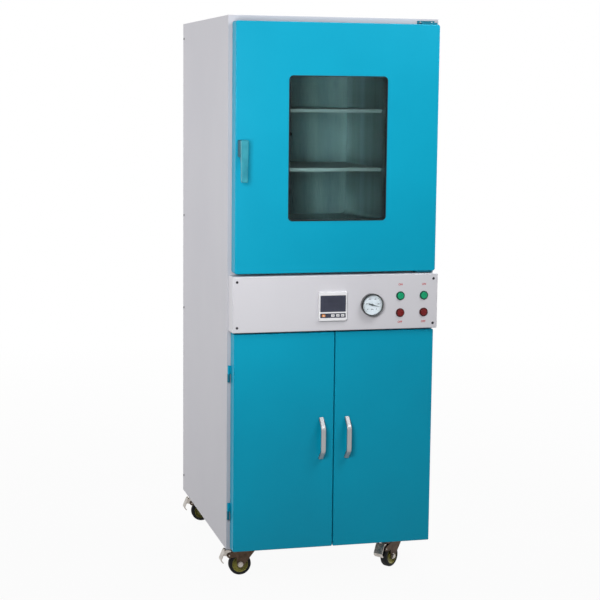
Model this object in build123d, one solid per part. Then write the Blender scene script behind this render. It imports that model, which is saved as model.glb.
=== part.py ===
from build123d import *
import os

# Floor-standing vacuum oven. Millimetres, +Z up, X across the front, +Y from the front to
# the back. The origin is on the floor, at the centre of the overall box.

# ---------------------------------------------------------------- cabinet
cabinet_width = 700.0
cabinet_depth = 800.0
head_gap = 19.0            # top of the upper door to the cabinet's top
frame_sheet = 2.0          # front frame, trays and decks
skin_sheet = 1.5           # side, top, back, door and panel skins
frame_return = 18.0        # depth of the frame's folded rim
tray_lip = 22.0            # upturned edge of the base tray and the decks
rim_width = 26.0           # frame face left around the lower and the control openings
screw_head_radius = 5.0
screw_head_height = 2.4
side_screw_inset = 18.0    # from the cabinet's back edge
side_screw_low = 60.0      # above the cabinet's bottom
side_screw_below_deck = 25.0
side_screw_above_deck = 131.0
side_screw_high = 54.0     # below the cabinet's top

# ---------------------------------------------------------------- fronts, bottom to top
base_gap = 4.0
lower_door_height = 721.0
panel_gap = 6.0
panel_height = 182.0
door_gap = 8.0
door_height = 800.0
door_side_inset = 12.0     # cabinet side to the edge of a door
panel_side_inset = 4.0
lower_door_split = 3.0     # gap between the two lower doors
lower_door_proud = 50.0
panel_proud = 62.0
door_proud = 55.0
skin_edge_radius = 3.0
door_corner_radius = 8.0
seat_gap = 1.0             # closed lower door to frame
skin_lip = 10.0            # return folded inwards at the back of a door skin

# ---------------------------------------------------------------- chamber
chamber_width = 430.0
chamber_height = 520.0
chamber_depth = 590.0
chamber_corner = 25.0
chamber_wall = 4.0
flange_width = 35.0
flange_thickness = 12.0
flange_corner = 40.0
seal_inset = 10.0
seal_width = 14.0
seal_thickness = 6.0
seal_stand = 0.7           # seal proud of the flange
seal_clearance = 0.3
rib_height = 30.0
rib_thickness = 6.0
rib_count = 3
cradle_width = 40.0
cradle_spread = 150.0
heater_thickness = 5.0
insulation_thickness = 50.0
insulation_end_gap = 10.0

# ---------------------------------------------------------------- shelves
shelf_low = 189.0          # above the chamber floor
shelf_high = 384.0
shelf_width = 400.0
shelf_setback = 130.0      # front frame to the shelf's front edge
shelf_depth = 440.0
shelf_sheet = 1.5
shelf_lip = 11.0
finger_hole_radius = 12.0
finger_hole_inset = 60.0
rail_height = 14.0
rail_sheet = 2.0

# ---------------------------------------------------------------- vacuum line
pipe_radius = 12.5
pipe_wall = 2.0
pipe_x = -90.0
pipe_bend = 45.0
pipe_run_back = 100.0      # chamber's back wall to the riser's axis
pipe_clearance = 0.3
nozzle_drop = 60.0         # below the lower deck
nozzle_flange_radius = 24.0
nozzle_flange_thickness = 5.0
nozzle_chamfer = 1.0
valve_width = 46.0
valve_height = 44.0
coil_radius = 20.0
coil_length = 46.0

# ---------------------------------------------------------------- window
window_width = 328.0
window_height = 464.0
window_corner = 14.0
gasket_band = 3.5
gasket_proud = 0.8
gasket_overlap = 6.0
outer_glass = 5.0
inner_glass = 15.0
glass_edge = 12.0          # how far the glass reaches past the opening
liner_sheet = 1.5
retainer_width = 20.0
inner_plate = 5.0
inner_plate_side = 48.0    # from the skin's edge to the inner plate's edge
inner_plate_corner = 20.0

# ---------------------------------------------------------------- upper door pivots
pivot_inset = 16.0         # from the door's right edge
pivot_depth = 28.0         # in front of the frame
pivot_pin_radius = 5.0
pivot_pin_length = 20.0
running_clearance = 0.05
bush_wall = 3.0
bush_length = 18.0
bush_flange = 0.7
bush_flange_radius = 11.0
bracket_thickness = 5.0
bracket_gap = 1.0
bracket_left = 45.0        # reach of the bracket to the left of the pivot
bracket_right = 14.0
bracket_front = 16.0
bracket_leg = 12.0

# ---------------------------------------------------------------- door latch
latch_inset = 22.0         # pivot from the door's left edge
latch_height = 401.0       # pivot above the door's bottom edge
latch_base_width = 28.0
latch_base_height = 54.0
latch_base_depth = 30.0
latch_gap = 0.3
lever_width = 25.0          # at the pivot
lever_end_width = 21.0
lever_length = 133.0
lever_corner = 3.5
lever_above = 27.0         # lever end above the pivot
lever_thickness = 13.0
lever_grip_thickness = 9.0
lever_edge_radius = 2.0
spindle_radius = 6.0
spindle_head = 3.0
cam_width = 14.0
cam_height = 36.0
cam_thickness = 7.0
cam_clearance = 0.4        # behind the frame
slot_clearance = 3.5       # cam to slot, each side

# ---------------------------------------------------------------- bow handles
bow_offset = 44.0          # from the cabinet's centre line
bow_height = 373.0         # handle centre above the cabinet's bottom
bow_span = 134.0
bow_reach = 35.0
bow_width = 16.0
bow_thickness = 9.0
bow_grip = 76.0
bow_bend = 16.0

# ---------------------------------------------------------------- lower door hinges
barrel_radius = 4.0
barrel_length = 55.0
barrel_gap = 0.3
barrel_pin_radius = 2.0
barrel_inset = 5.0         # barrel axis from the cabinet's side
barrel_depth = 5.5         # barrel axis in front of the frame
hinge_leaf = 4.0
hinge_low = 131.0          # barrel centres above the cabinet's bottom
hinge_high = 590.0

# ---------------------------------------------------------------- control panel
panel_corner_radius = 3.0
panel_screw_inset_x = 15.0
panel_screw_inset_z = 17.0
controller_x = -14.0
controller_rise = -10.0    # from the panel's centre
controller_size = 96.0
controller_corner = 5.0
controller_proud = 8.0
controller_body = 90.0
controller_body_depth = 70.0
body_clearance = 0.5
display_width = 86.0
display_height = 54.0
display_rise = 9.0
display_thickness = 2.0
display_recess = 1.0
key_strip_drop = 30.0
key_strip_height = 15.0
key_strip_depth = 1.0
set_key_x = -31.5          # from the controller's centre
shift_key_x = -0.5
down_key_x = 16.5
up_key_x = 33.0
key_width = 11.0
key_height = 8.0
key_clearance = 0.3
key_proud = 1.2
key_depth = 4.0
key_travel = 0.8
key_floor = 0.4

gauge_x = 119.0
gauge_rise = -8.0
gauge_radius = 37.5
gauge_proud = 15.0
gauge_bezel = 4.0
gauge_body_radius = 33.0
gauge_body_depth = 30.0
dial_radius = 33.0
dial_thickness = 1.0
dial_depth = 8.0           # dial face behind the bezel's front
dial_pin_radius = 1.0
gauge_glass_thickness = 2.0
gauge_glass_recess = 1.5
needle_tip = 27.0
needle_tail = 13.0
needle_hub = 3.5
needle_thickness = 1.0
needle_tail_width = 3.4
needle_tip_width = 0.8
needle_gap = 0.5
needle_rest = -16.0        # degrees above the dial's right-hand horizontal

button_near_end = 48.0     # column centres from the panel's right end
button_far_end = 129.0
green_rise = 19.0
red_rise = -37.0
button_bezel_radius = 14.5
button_bezel_proud = 3.0
button_barrel_radius = 12.0
button_cap_radius = 10.6
button_bore_clearance = 0.1
button_cap_proud = 3.0
button_cap_depth = 12.0
button_travel = 3.0
button_barrel_depth = 32.0

# ---------------------------------------------------------------- casters
caster_height = 106.0
caster_side_inset = 94.0   # swivel axis from the cabinet's side
caster_end_inset = 60.0    # swivel axis from the cabinet's front or back
wheel_radius = 37.5
wheel_width = 25.0
wheel_edge = 6.0
hub_radius = 27.0
hub_recess = 5.0
hub_rim = 3.5
hub_boss_radius = 9.0
caster_trail = 36.0
plate_length = 95.0
plate_width = 65.0
plate_thickness = 3.0
plate_hole_radius = 4.5
plate_hole_length = 75.0   # hole centres along and across the plate
plate_hole_width = 45.0
race_radius = 22.0
race_depth = 6.0
king_pin_radius = 5.0
king_pin_head_radius = 8.0
king_pin_head = 4.0
fork_gap = 0.3
fork_sheet = 2.5
crown_thickness = 4.0
crown_radius = 25.0
fork_side_clearance = 1.5  # tyre to fork leg
hub_side_clearance = 0.3
axle_radius = 4.0
axle_eye_radius = 11.0
axle_head_radius = 6.5
axle_head = 4.0
fork_knee_back = 42.0      # where the leg meets the arm that carries the pedal
fork_knee_drop = 34.0
fork_knee_radius = 9.0
pedal_pivot_x = 74.0       # behind the swivel axis, towards the trail
pedal_pivot_drop = 36.0    # below the caster's top face
pedal_pin_radius = 2.5
pedal_barrel_radius = 4.5
pedal_eye_radius = 8.0
pedal_sheet = 3.0
pedal_width = 24.0
pedal_pad_width = 34.0     # past the ends of the fork's arms
pedal_front_back = 68.0    # back from the swivel axis, and down from the top face
pedal_front_drop = 22.0
pedal_knee_back = 88.0
pedal_knee_drop = 17.0
pedal_tip_back = 102.5
pedal_tip_drop = 52.0
pedal_curl_back = 94.0
pedal_curl_drop = 61.0
pedal_bend = 7.0
pedal_cheek = 2.5          # sheet folded forwards down both sides of the pedal
# Heading is the direction of the trail, in degrees from +X.
caster_headings = {"front_left": 180.0, "front_right": 217.0, "rear_left": 180.0, "rear_right": 0.0}

# ---------------------------------------------------------------- back of the cabinet
louvre_count = 8
louvre_drop = 90.0         # first slot below the pump compartment's roof
louvre_pitch = 24.0
louvre_length = 180.0
louvre_height = 9.0
louvre_spread = 150.0
gland_radius = 14.0
gland_length = 22.0
gland_bore = 6.0
gland_x = 240.0
gland_rise = 120.0
back_return = 30.0

# ---------------------------------------------------------------- places worked out
lever_proud = latch_base_depth + latch_gap + lever_thickness
front_reach = door_proud + lever_proud
back_reach = cabinet_depth + gland_length
front_y = (front_reach - back_reach) / 2
back_y = front_y + cabinet_depth
half_width = cabinet_width / 2

bottom_z = caster_height
lower_door_z = bottom_z + base_gap
lower_door_top = lower_door_z + lower_door_height
panel_z = lower_door_top + panel_gap
panel_top = panel_z + panel_height
panel_centre = panel_z + panel_height / 2
door_z = panel_top + door_gap
door_top = door_z + door_height
top_z = door_top + head_gap
door_centre = door_z + door_height / 2
door_width = cabinet_width - 2 * door_side_inset
chamber_floor = door_centre - chamber_height / 2
shell_width = chamber_width + 2 * chamber_wall
shell_height = chamber_height + 2 * chamber_wall
shell_back = front_y + chamber_depth + chamber_wall
flange_outer_width = chamber_width + 2 * flange_width
flange_outer_height = chamber_height + 2 * flange_width
lower_deck_z = lower_door_top
chamber_deck_z = panel_top
inner_half = half_width - skin_sheet
side_screw_levels = (bottom_z + side_screw_low, lower_deck_z - side_screw_below_deck,
                     chamber_deck_z + side_screw_above_deck, top_z - side_screw_high)
shelf_levels = (chamber_floor + shelf_low, chamber_floor + shelf_high)
hinge_levels = (bottom_z + hinge_low, bottom_z + hinge_high)
key_places = {"set": set_key_x, "shift": shift_key_x, "down": down_key_x, "up": up_key_x}
button_columns = (half_width - panel_side_inset - button_far_end,
                  half_width - panel_side_inset - button_near_end)

inner_plate_back = front_y - seal_stand - seal_clearance
skin_back = inner_plate_back - inner_plate
skin_front = front_y - door_proud
pivot_x = half_width - door_side_inset - pivot_inset
pivot_y = front_y - pivot_depth
latch_x = -half_width + door_side_inset + latch_inset
latch_z = door_z + latch_height
cam_front = front_y + frame_sheet + cam_clearance
panel_front = front_y - panel_proud
lower_door_front = front_y - lower_door_proud
lower_door_width = (door_width - lower_door_split) / 2
lower_door_centre = (lower_door_split + lower_door_width) / 2
pipe_y = shell_back + pipe_run_back
nozzle_tip_z = lower_deck_z - nozzle_drop
vacuum_port_z = chamber_floor + chamber_height / 2

os.makedirs("parts", exist_ok=True)


# ---------------------------------------------------------------- shape helpers
def save(name, *solids):
    shape = solids[0] if len(solids) == 1 else Compound(children=list(solids))
    export_step(shape, f"parts/{name}.step")


def block(x0, x1, y0, y1, z0, z1):
    corner = (Align.MIN, Align.MIN, Align.MIN)
    return Pos(x0, y0, z0) * Box(x1 - x0, y1 - y0, z1 - z0, align=corner)


def rod(start, direction, radius, length):
    plane = Plane(origin=start, z_dir=direction)
    return plane * Cylinder(radius, length, align=(Align.CENTER, Align.CENTER, Align.MIN))


def facing(x, y, z):
    # A plane parallel to the front, whose own x and y run along +X and +Z.
    return Plane(origin=(x, y, z), x_dir=(1, 0, 0), z_dir=(0, -1, 0))


def slab(x, z, width, height, radius, y0, y1):
    # A rounded rectangle parallel to the front, from y0 back to y1.
    sketch = RectangleRounded(width, height, radius) if radius > 0 else Rectangle(width, height)
    return extrude(facing(x, y1, z) * sketch, amount=y1 - y0)


def ring(x, z, outer, inner, y0, y1):
    # outer and inner are (width, height, corner radius).
    return slab(x, z, *outer, y0, y1) - slab(x, z, *inner, y0 - 1, y1 + 1)


def soften_front(shape, radius):
    return fillet(shape.faces().sort_by(Axis.Y)[0].outer_wire().edges(), radius)


def pan(x, z, width, height, corner, y0, y1, lip):
    # A folded sheet pan, open to the back, with a lip folded inwards at its rear edge.
    shell = soften_front(slab(x, z, width, height, corner, y0, y1), skin_edge_radius)
    room = slab(x, z, width - 2 * skin_sheet, height - 2 * skin_sheet,
                max(corner - skin_sheet, 1.0), y0 + skin_sheet, y1 - skin_sheet)
    mouth = slab(x, z, width - 2 * lip, height - 2 * lip, corner, y1 - skin_sheet - 1, y1 + 1)
    return shell - room - mouth


def tray(half, y0, y1, z, sheet, lip):
    # A sheet with its sides and its back turned up by lip, or down where lip is negative.
    # z is the outer face of the sheet.
    turn = 1 if lip > 0 else -1
    body = block(-half, half, y0, y1, min(z, z + lip), max(z, z + lip))
    low = min(z + turn * sheet, z + lip + turn)
    high = max(z + turn * sheet, z + lip + turn)
    return body - block(-half + sheet, half - sheet, y0 - 1, y1 - sheet, low, high)


def screw_head(start, direction):
    head = rod(start, direction, screw_head_radius, screw_head_height)
    crown = head.faces().sort_by(Axis(start, direction))[-1]
    return fillet(crown.edges(), screw_head_height * 0.6)


# ---------------------------------------------------------------- cabinet shell
def side_panels():
    depth = (front_y + frame_sheet, back_y)
    height = (bottom_z, top_z)
    left = block(-half_width, -inner_half, *depth, *height)
    right = block(inner_half, half_width, *depth, *height)
    return left, right


def top_cover():
    cover = tray(inner_half, front_y + frame_sheet, back_y, top_z, skin_sheet, -tray_lip)
    return cover


def base_tray():
    return tray(inner_half, front_y + frame_sheet, back_y, bottom_z, frame_sheet, tray_lip)


def inner_decks():
    # The roof of the pump compartment, and the deck that carries the chamber.
    front = front_y + frame_sheet + frame_return
    back = back_y - back_return
    hole_radius = pipe_radius + pipe_clearance
    decks = []
    for z in (lower_deck_z, chamber_deck_z):
        deck = tray(inner_half, front, back, z, frame_sheet, tray_lip)
        decks.append(deck - rod((pipe_x, pipe_y, z - 1), (0, 0, 1), hole_radius, frame_sheet + 2))
    return decks


def back_panels():
    # Two pans side screwed into the cabinet, the lower one louvred.
    front = back_y - back_return
    back = back_y - frame_sheet
    split = chamber_deck_z
    panels = []
    for low, high in ((bottom_z + frame_sheet, split), (split, top_z - skin_sheet)):
        middle = (low + high) / 2
        width = 2 * (inner_half - frame_sheet)
        outer = slab(0, middle, width, high - low, 0, front, back)
        room = slab(0, middle, width - 2 * skin_sheet, high - low + 2, 0,
                    front - 1, back - skin_sheet)
        panels.append(outer - room)
    lower, upper = panels
    slots = slab(0, 0, louvre_length, louvre_height, louvre_height / 2 - 0.1,
                 back - skin_sheet - 1, back + 1)
    for side in (-1, 1):
        for row in range(louvre_count):
            z = lower_deck_z - louvre_drop - row * louvre_pitch
            lower -= Pos(side * louvre_spread, 0, z) * slots
    gland_hole = rod((gland_x, back - 2 * skin_sheet, bottom_z + gland_rise), (0, 1, 0),
                     gland_bore, 3 * skin_sheet)
    return lower - gland_hole, upper


def cable_gland():
    start = (gland_x, back_y - frame_sheet, bottom_z + gland_rise)
    body = rod(start, (0, 1, 0), gland_radius, frame_sheet + gland_length)
    body = chamfer(body.faces().sort_by(Axis.Y)[-1].edges(), gland_radius * 0.2)
    return body - rod(start, (0, 1, 0), gland_bore, 2 * gland_length)


def front_frame():
    height = top_z - bottom_z
    middle = (top_z + bottom_z) / 2
    face = slab(0, middle, cabinet_width, height, 0, front_y, front_y + frame_sheet)
    rim_width_outer = 2 * (inner_half - frame_sheet)
    rim_height = height - 2 * frame_sheet
    rim = ring(0, middle, (rim_width_outer, rim_height, 0),
               (rim_width_outer - 2 * frame_sheet, rim_height - 2 * frame_sheet, 0),
               front_y + frame_sheet, front_y + frame_sheet + frame_return)
    frame = face + rim
    depth = (front_y - 1, front_y + frame_sheet + 1)
    bay_width = cabinet_width - 2 * (door_side_inset + rim_width)
    bay_height = lower_door_height - 2 * rim_width
    frame -= slab(0, lower_door_z + lower_door_height / 2, bay_width, bay_height, 0, *depth)
    frame -= slab(0, panel_centre, bay_width, panel_height - 2 * rim_width, 0, *depth)
    frame -= slab(0, door_centre, flange_outer_width, flange_outer_height, flange_corner, *depth)
    slot_width = cam_width + 2 * slot_clearance
    slot_height = cam_height + 2 * slot_clearance
    frame -= slab(latch_x, latch_z, slot_width, slot_height, slot_width / 2 - 0.1, *depth)
    return frame


# ---------------------------------------------------------------- chamber
def chamber_shell():
    front = front_y + flange_thickness
    corner = chamber_corner + chamber_wall
    shell = slab(0, door_centre, shell_width, shell_height, corner, front, shell_back)
    room = slab(0, door_centre, chamber_width, chamber_height, chamber_corner,
                front - 1, shell_back - chamber_wall)
    port = rod((pipe_x, shell_back - 2 * chamber_wall, vacuum_port_z), (0, 1, 0),
               pipe_radius - pipe_wall, 3 * chamber_wall)
    return shell - room - port


def chamber_flange():
    outer = (flange_outer_width, flange_outer_height, flange_corner)
    inner = (chamber_width, chamber_height, chamber_corner)
    flange = ring(0, door_centre, outer, inner, front_y, front_y + flange_thickness)
    floor = front_y + seal_thickness - seal_stand
    groove = ring(0, door_centre, *seal_outlines(0.0), front_y - 1, floor)
    return flange - groove


def seal_outlines(gap):
    inset = seal_inset + gap
    reach = seal_inset + seal_width - gap
    inner = (chamber_width + 2 * inset, chamber_height + 2 * inset, chamber_corner + inset)
    outer = (chamber_width + 2 * reach, chamber_height + 2 * reach, chamber_corner + reach)
    return outer, inner


def door_seal():
    front = front_y - seal_stand
    seal = ring(0, door_centre, *seal_outlines(seal_clearance), front, front + seal_thickness)
    return fillet(seal.faces().sort_by(Axis.Y)[0].edges(), seal_stand)


def chamber_ribs():
    # Stiffening ribs round the vacuum chamber, and the two channels it stands on.
    inner = (shell_width, shell_height, chamber_corner + chamber_wall)
    outer = (shell_width + 2 * rib_height, shell_height + 2 * rib_height, flange_corner)
    pitch = chamber_depth / (rib_count + 1)
    parts = []
    for index in range(1, rib_count + 1):
        y = front_y + index * pitch
        parts.append(ring(0, door_centre, outer, inner, y, y + rib_thickness))
    under = door_centre - shell_height / 2 - rib_height
    deck_top = chamber_deck_z + frame_sheet
    start = front_y + pitch - rib_thickness
    end = front_y + rib_count * pitch + 2 * rib_thickness
    for x in (-cradle_spread, cradle_spread):
        half = cradle_width / 2
        channel = block(x - half, x + half, start, end, deck_top, under)
        channel -= block(x - half + rib_thickness, x + half - rib_thickness, start - 1, end + 1,
                         deck_top - 1, under - rib_thickness)
        parts.append(channel)
    return parts


def heater_pads():
    # Flat heaters bonded to the outside of the chamber between its ribs.
    pitch = chamber_depth / (rib_count + 1)
    gap = 2 * rib_thickness
    side_height = chamber_height - 2 * chamber_corner
    side_width = chamber_width - 2 * chamber_corner
    pads = []
    for index in range(1, rib_count):
        y0 = front_y + index * pitch + rib_thickness + gap
        y1 = front_y + (index + 1) * pitch - gap
        z0 = door_centre - side_height / 2
        x1 = shell_width / 2
        for side in (-1, 1):
            low, high = sorted((side * x1, side * (x1 + heater_thickness)))
            pads.append(block(low, high, y0, y1, z0, z0 + side_height))
            level = door_centre + side * shell_height / 2
            bottom, top = sorted((level, level + side * heater_thickness))
            pads.append(block(-side_width / 2, side_width / 2, y0, y1, bottom, top))
    return pads


def insulation():
    # Mineral wool round the ribs, on the two sides, the top and the back.
    gap = insulation_end_gap
    rib_half = shell_width / 2 + rib_height
    rib_top = door_centre + shell_height / 2 + rib_height
    front = front_y + frame_sheet + frame_return + gap
    back = shell_back + insulation_thickness
    outer = block(-rib_half - insulation_thickness, rib_half + insulation_thickness, front, back,
                  chamber_deck_z + tray_lip + gap, rib_top + insulation_thickness)
    inner = block(-rib_half, rib_half, front - 1, shell_back, chamber_deck_z, rib_top)
    hole = rod((pipe_x, shell_back - 1, vacuum_port_z), (0, 1, 0), pipe_radius + pipe_clearance,
               insulation_thickness + 2)
    return outer - inner - hole


def shelf_rails():
    # One plain angle each side under every shelf, welded to the chamber wall.
    rail_width = (chamber_width - shelf_width) / 2 + rail_height
    y0 = front_y + shelf_setback
    y1 = y0 + shelf_depth
    rails = []
    for level in shelf_levels:
        seat = level - shelf_sheet
        for side in (-1, 1):
            wall = side * chamber_width / 2
            tip = side * (chamber_width / 2 - rail_width)
            low, high = sorted((wall, tip))
            shelf_seat = block(low, high, y0, y1, seat - rail_sheet, seat)
            low, high = sorted((wall, wall - side * rail_sheet))
            web = block(low, high, y0, y1, seat - rail_height, seat)
            rails.append(shelf_seat + web)
    return rails


def shelf(top):
    # A folded sheet with a turned-down lip at the front and at the back, between the rails.
    y0 = front_y + shelf_setback
    y1 = y0 + shelf_depth
    half = shelf_width / 2
    lip_half = half - rail_height - 1
    plate = block(-half, half, y0, y1, top - shelf_sheet, top)
    for low, high in ((y0 - shelf_sheet, y0), (y1, y1 + shelf_sheet)):
        plate += block(-half, half, low, high, top - shelf_lip, top)
    for side in (-1, 1):
        edge = side * lip_half
        low, high = sorted((edge, edge - side * shelf_sheet))
        plate += block(low, high, y0, y1, top - shelf_lip * 0.6, top - shelf_sheet)
        for y in (y0 + finger_hole_inset, y1 - finger_hole_inset):
            hole_x = side * (lip_half - finger_hole_inset)
            plate -= rod((hole_x, y, top - 2 * shelf_sheet), (0, 0, 1), finger_hole_radius, 9)
    return plate


# ---------------------------------------------------------------- vacuum line
def vacuum_pipe():
    # From the port in the chamber's back wall, round one bend and down to the pump compartment.
    start = (pipe_x, shell_back, vacuum_port_z)
    corner = (pipe_x, pipe_y, vacuum_port_z)
    end = (pipe_x, pipe_y, lower_deck_z)
    path = FilletPolyline(start, corner, end, radius=pipe_bend)
    section = Plane(origin=start, z_dir=(0, 1, 0)) * Circle(pipe_radius)
    bore = Plane(origin=start, z_dir=(0, 1, 0)) * Circle(pipe_radius - pipe_wall)
    return sweep(section - bore, path=path)


def hose_nozzle():
    # A flanged nozzle under the deck: a plain spigot for the pump's hose and its clip.
    inner = pipe_radius - pipe_wall
    foot = lower_deck_z - nozzle_flange_thickness
    flange = rod((pipe_x, pipe_y, foot), (0, 0, 1), nozzle_flange_radius, nozzle_flange_thickness)
    spigot = rod((pipe_x, pipe_y, nozzle_tip_z), (0, 0, 1), pipe_radius, foot - nozzle_tip_z)
    spigot = chamfer(spigot.faces().sort_by(Axis.Z)[0].edges(), nozzle_chamfer)
    return flange + spigot - rod((pipe_x, pipe_y, nozzle_tip_z - 1), (0, 0, 1), inner,
                                 nozzle_drop + 2)


def vacuum_valve():
    # A solenoid valve clamped round the riser in the electrical bay.
    half = valve_width / 2
    z0 = panel_centre - valve_height / 2
    body = block(pipe_x - half, pipe_x + half, pipe_y - half, pipe_y + half, z0, z0 + valve_height)
    body = fillet(body.edges().filter_by(Axis.Z), 4)
    coil = rod((pipe_x, pipe_y - half, panel_centre), (0, -1, 0), coil_radius, coil_length)
    bore = rod((pipe_x, pipe_y, z0 - 1), (0, 0, 1), pipe_radius, valve_height + 2)
    return body + coil - bore


# ---------------------------------------------------------------- upper door
def door_skin():
    skin = pan(0, door_centre, door_width, door_height, door_corner_radius,
               skin_front, skin_back, skin_lip)
    skin -= slab(0, door_centre, window_width, window_height, window_corner,
                 skin_front - 1, skin_front + 2 * skin_sheet)
    skin -= rod((latch_x, skin_front - 1, latch_z), (0, 1, 0),
                spindle_radius + running_clearance, 2 * skin_sheet)
    bush_radius = pivot_pin_radius + running_clearance + bush_wall
    for z in (door_z, door_top):
        skin -= rod((pivot_x, pivot_y, z - 2 * skin_sheet), (0, 0, 1), bush_radius, 4 * skin_sheet)
    return skin


def door_inner_plate():
    width = door_width - 2 * inner_plate_side
    height = door_height - 2 * inner_plate_side
    outer = (width, height, inner_plate_corner)
    inner = (window_width, window_height, window_corner)
    return ring(0, door_centre, outer, inner, skin_back, inner_plate_back)


def stiffener_rails():
    # Two folded channels inside the door skin that the inner plate is screwed to.
    x0 = window_width / 2 + glass_edge + retainer_width
    x1 = door_width / 2 - inner_plate_side
    y0 = skin_front + skin_sheet
    z0 = door_z + skin_lip
    z1 = door_top - skin_lip
    rails = []
    for side in (-1, 1):
        low, high = sorted((side * x0, side * x1))
        channel = block(low, high, y0, skin_back, z0, z1)
        channel -= block(low + skin_sheet, high - skin_sheet, y0 + skin_sheet, skin_back + 1,
                         z0 - 1, z1 + 1)
        rails.append(channel)
    return rails


def window_gasket():
    # A rubber section round the window: a bead in the opening and a lip behind the skin.
    hole = (window_width, window_height, window_corner)
    bead = (window_width - 2 * gasket_band, window_height - 2 * gasket_band,
            window_corner - gasket_band)
    lip = (window_width + 2 * gasket_overlap, window_height + 2 * gasket_overlap, window_corner)
    behind = skin_front + skin_sheet
    front = ring(0, door_centre, hole, bead, skin_front - gasket_proud, behind)
    back = ring(0, door_centre, lip, bead, behind, behind + skin_sheet)
    return front + back


def window_glass():
    # A cover pane behind the gasket, and the thick pane that holds the vacuum.
    width = window_width + 2 * glass_edge
    height = window_height + 2 * glass_edge
    cover = skin_front + 2 * skin_sheet
    outer = slab(0, door_centre, width, height, window_corner, cover, cover + outer_glass)
    inner = slab(0, door_centre, width, height, window_corner, skin_back - inner_glass, skin_back)
    return outer, inner


def window_liner():
    # The sleeve between the two panes, with the frame that clamps the thick pane.
    bead_width = window_width - 2 * gasket_band
    bead_height = window_height - 2 * gasket_band
    corner = window_corner - gasket_band
    tube = (bead_width + 2 * liner_sheet, bead_height + 2 * liner_sheet, corner + liner_sheet)
    start = skin_front + 2 * skin_sheet + outer_glass
    end = skin_back - inner_glass
    sleeve = ring(0, door_centre, tube, (bead_width, bead_height, corner), start, end)
    glass = (window_width + 2 * glass_edge, window_height + 2 * glass_edge, window_corner)
    clamp = (glass[0] + 2 * retainer_width, glass[1] + 2 * retainer_width, window_corner)
    lip = ring(0, door_centre, clamp, tube, end - liner_sheet, end)
    clamp_frame = ring(0, door_centre, clamp, glass, end - liner_sheet, skin_back)
    return sleeve + lip + clamp_frame


def door_bushes():
    bushes = []
    outer = pivot_pin_radius + running_clearance + bush_wall
    bore = pivot_pin_radius + running_clearance
    for z, up in ((door_z, 1), (door_top, -1)):
        sleeve = rod((pivot_x, pivot_y, z), (0, 0, up), outer, bush_length)
        collar = rod((pivot_x, pivot_y, z), (0, 0, -up), bush_flange_radius, bush_flange)
        hole = rod((pivot_x, pivot_y, z - up * 2 * bush_flange), (0, 0, up), bore, bush_length * 2)
        bushes.append(sleeve + collar - hole)
    return bushes


def door_brackets():
    # The two pivot brackets on the frame, above and below the door, each with its pin.
    brackets = []
    for z, up in ((door_z - bracket_gap, -1), (door_top + bracket_gap, 1)):
        low, high = sorted((z, z + up * bracket_thickness))
        width = (pivot_x - bracket_left, pivot_x + bracket_right)
        plate = block(*width, pivot_y - bracket_front, front_y, low, high)
        plate = fillet(plate.edges().filter_by(Axis.Z).group_by(Axis.Y)[0], 12)
        pin_start = (pivot_x, pivot_y, z + up * bracket_thickness / 2)
        length = bracket_thickness / 2 + bracket_gap + pivot_pin_length - 4
        brackets.append(plate + rod(pin_start, (0, 0, -up), pivot_pin_radius, length))
    leg = block(pivot_x - bracket_left, pivot_x + bracket_right, front_y - frame_sheet, front_y,
                door_top + bracket_gap, door_top + bracket_gap + bracket_leg)
    brackets[1] += leg
    return brackets


# ---------------------------------------------------------------- latch
def latch_base():
    half = latch_base_width / 2
    z1 = latch_z + latch_base_height / 2
    base = block(latch_x - half, latch_x + half, skin_front - latch_base_depth, skin_front,
                 z1 - latch_base_height, z1)
    base = fillet(base.edges().filter_by(Axis.Y), lever_corner)
    base = soften_front(base, lever_edge_radius / 2)
    return base - rod((latch_x, skin_front + 1, latch_z), (0, -1, 0),
                      spindle_radius + running_clearance, latch_base_depth + 2)


def latch_handle():
    # A lever that hangs from its pivot, thins behind the grip and narrows towards its end.
    top = latch_z + lever_above
    bottom = top - lever_length
    back = skin_front - latch_base_depth - latch_gap
    front = back - lever_thickness
    grip_back = front + lever_grip_thickness
    under_base = latch_z - latch_base_height / 2 - 6
    side = Polyline((back, top), (front, top), (front, bottom), (grip_back, bottom),
                    (grip_back, under_base - 20), (back, under_base), close=True)
    plane = Plane(origin=(latch_x - lever_width / 2, 0, 0), x_dir=(0, 1, 0), z_dir=(1, 0, 0))
    lever = extrude(make_face(plane * side), amount=lever_width)
    wide, narrow = lever_width / 2, lever_end_width / 2
    front_view = Polyline((-wide, top - latch_z), (wide, top - latch_z), (narrow, bottom - latch_z),
                          (-narrow, bottom - latch_z), close=True)
    outline = extrude(facing(latch_x, front, latch_z) * make_face(front_view), amount=-lever_thickness)
    outline = fillet(outline.edges().filter_by(Axis.Y), lever_corner)
    lever &= outline
    lever = soften_front(lever, lever_edge_radius)
    seat = back - lever_thickness * 0.6
    return lever - rod((latch_x, seat, latch_z), (0, 1, 0), spindle_radius, lever_thickness)


def latch_spindle():
    # The spindle turns in the base; its cam passes the frame's slot upright and hooks it across.
    seat = skin_front - latch_base_depth - latch_gap - lever_thickness * 0.6
    spindle = rod((latch_x, seat, latch_z), (0, 1, 0), spindle_radius, cam_front - seat)
    cam = slab(latch_x, latch_z, cam_width, cam_height, cam_width / 2 - 0.5,
               cam_front, cam_front + cam_thickness)
    return spindle + cam


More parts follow.
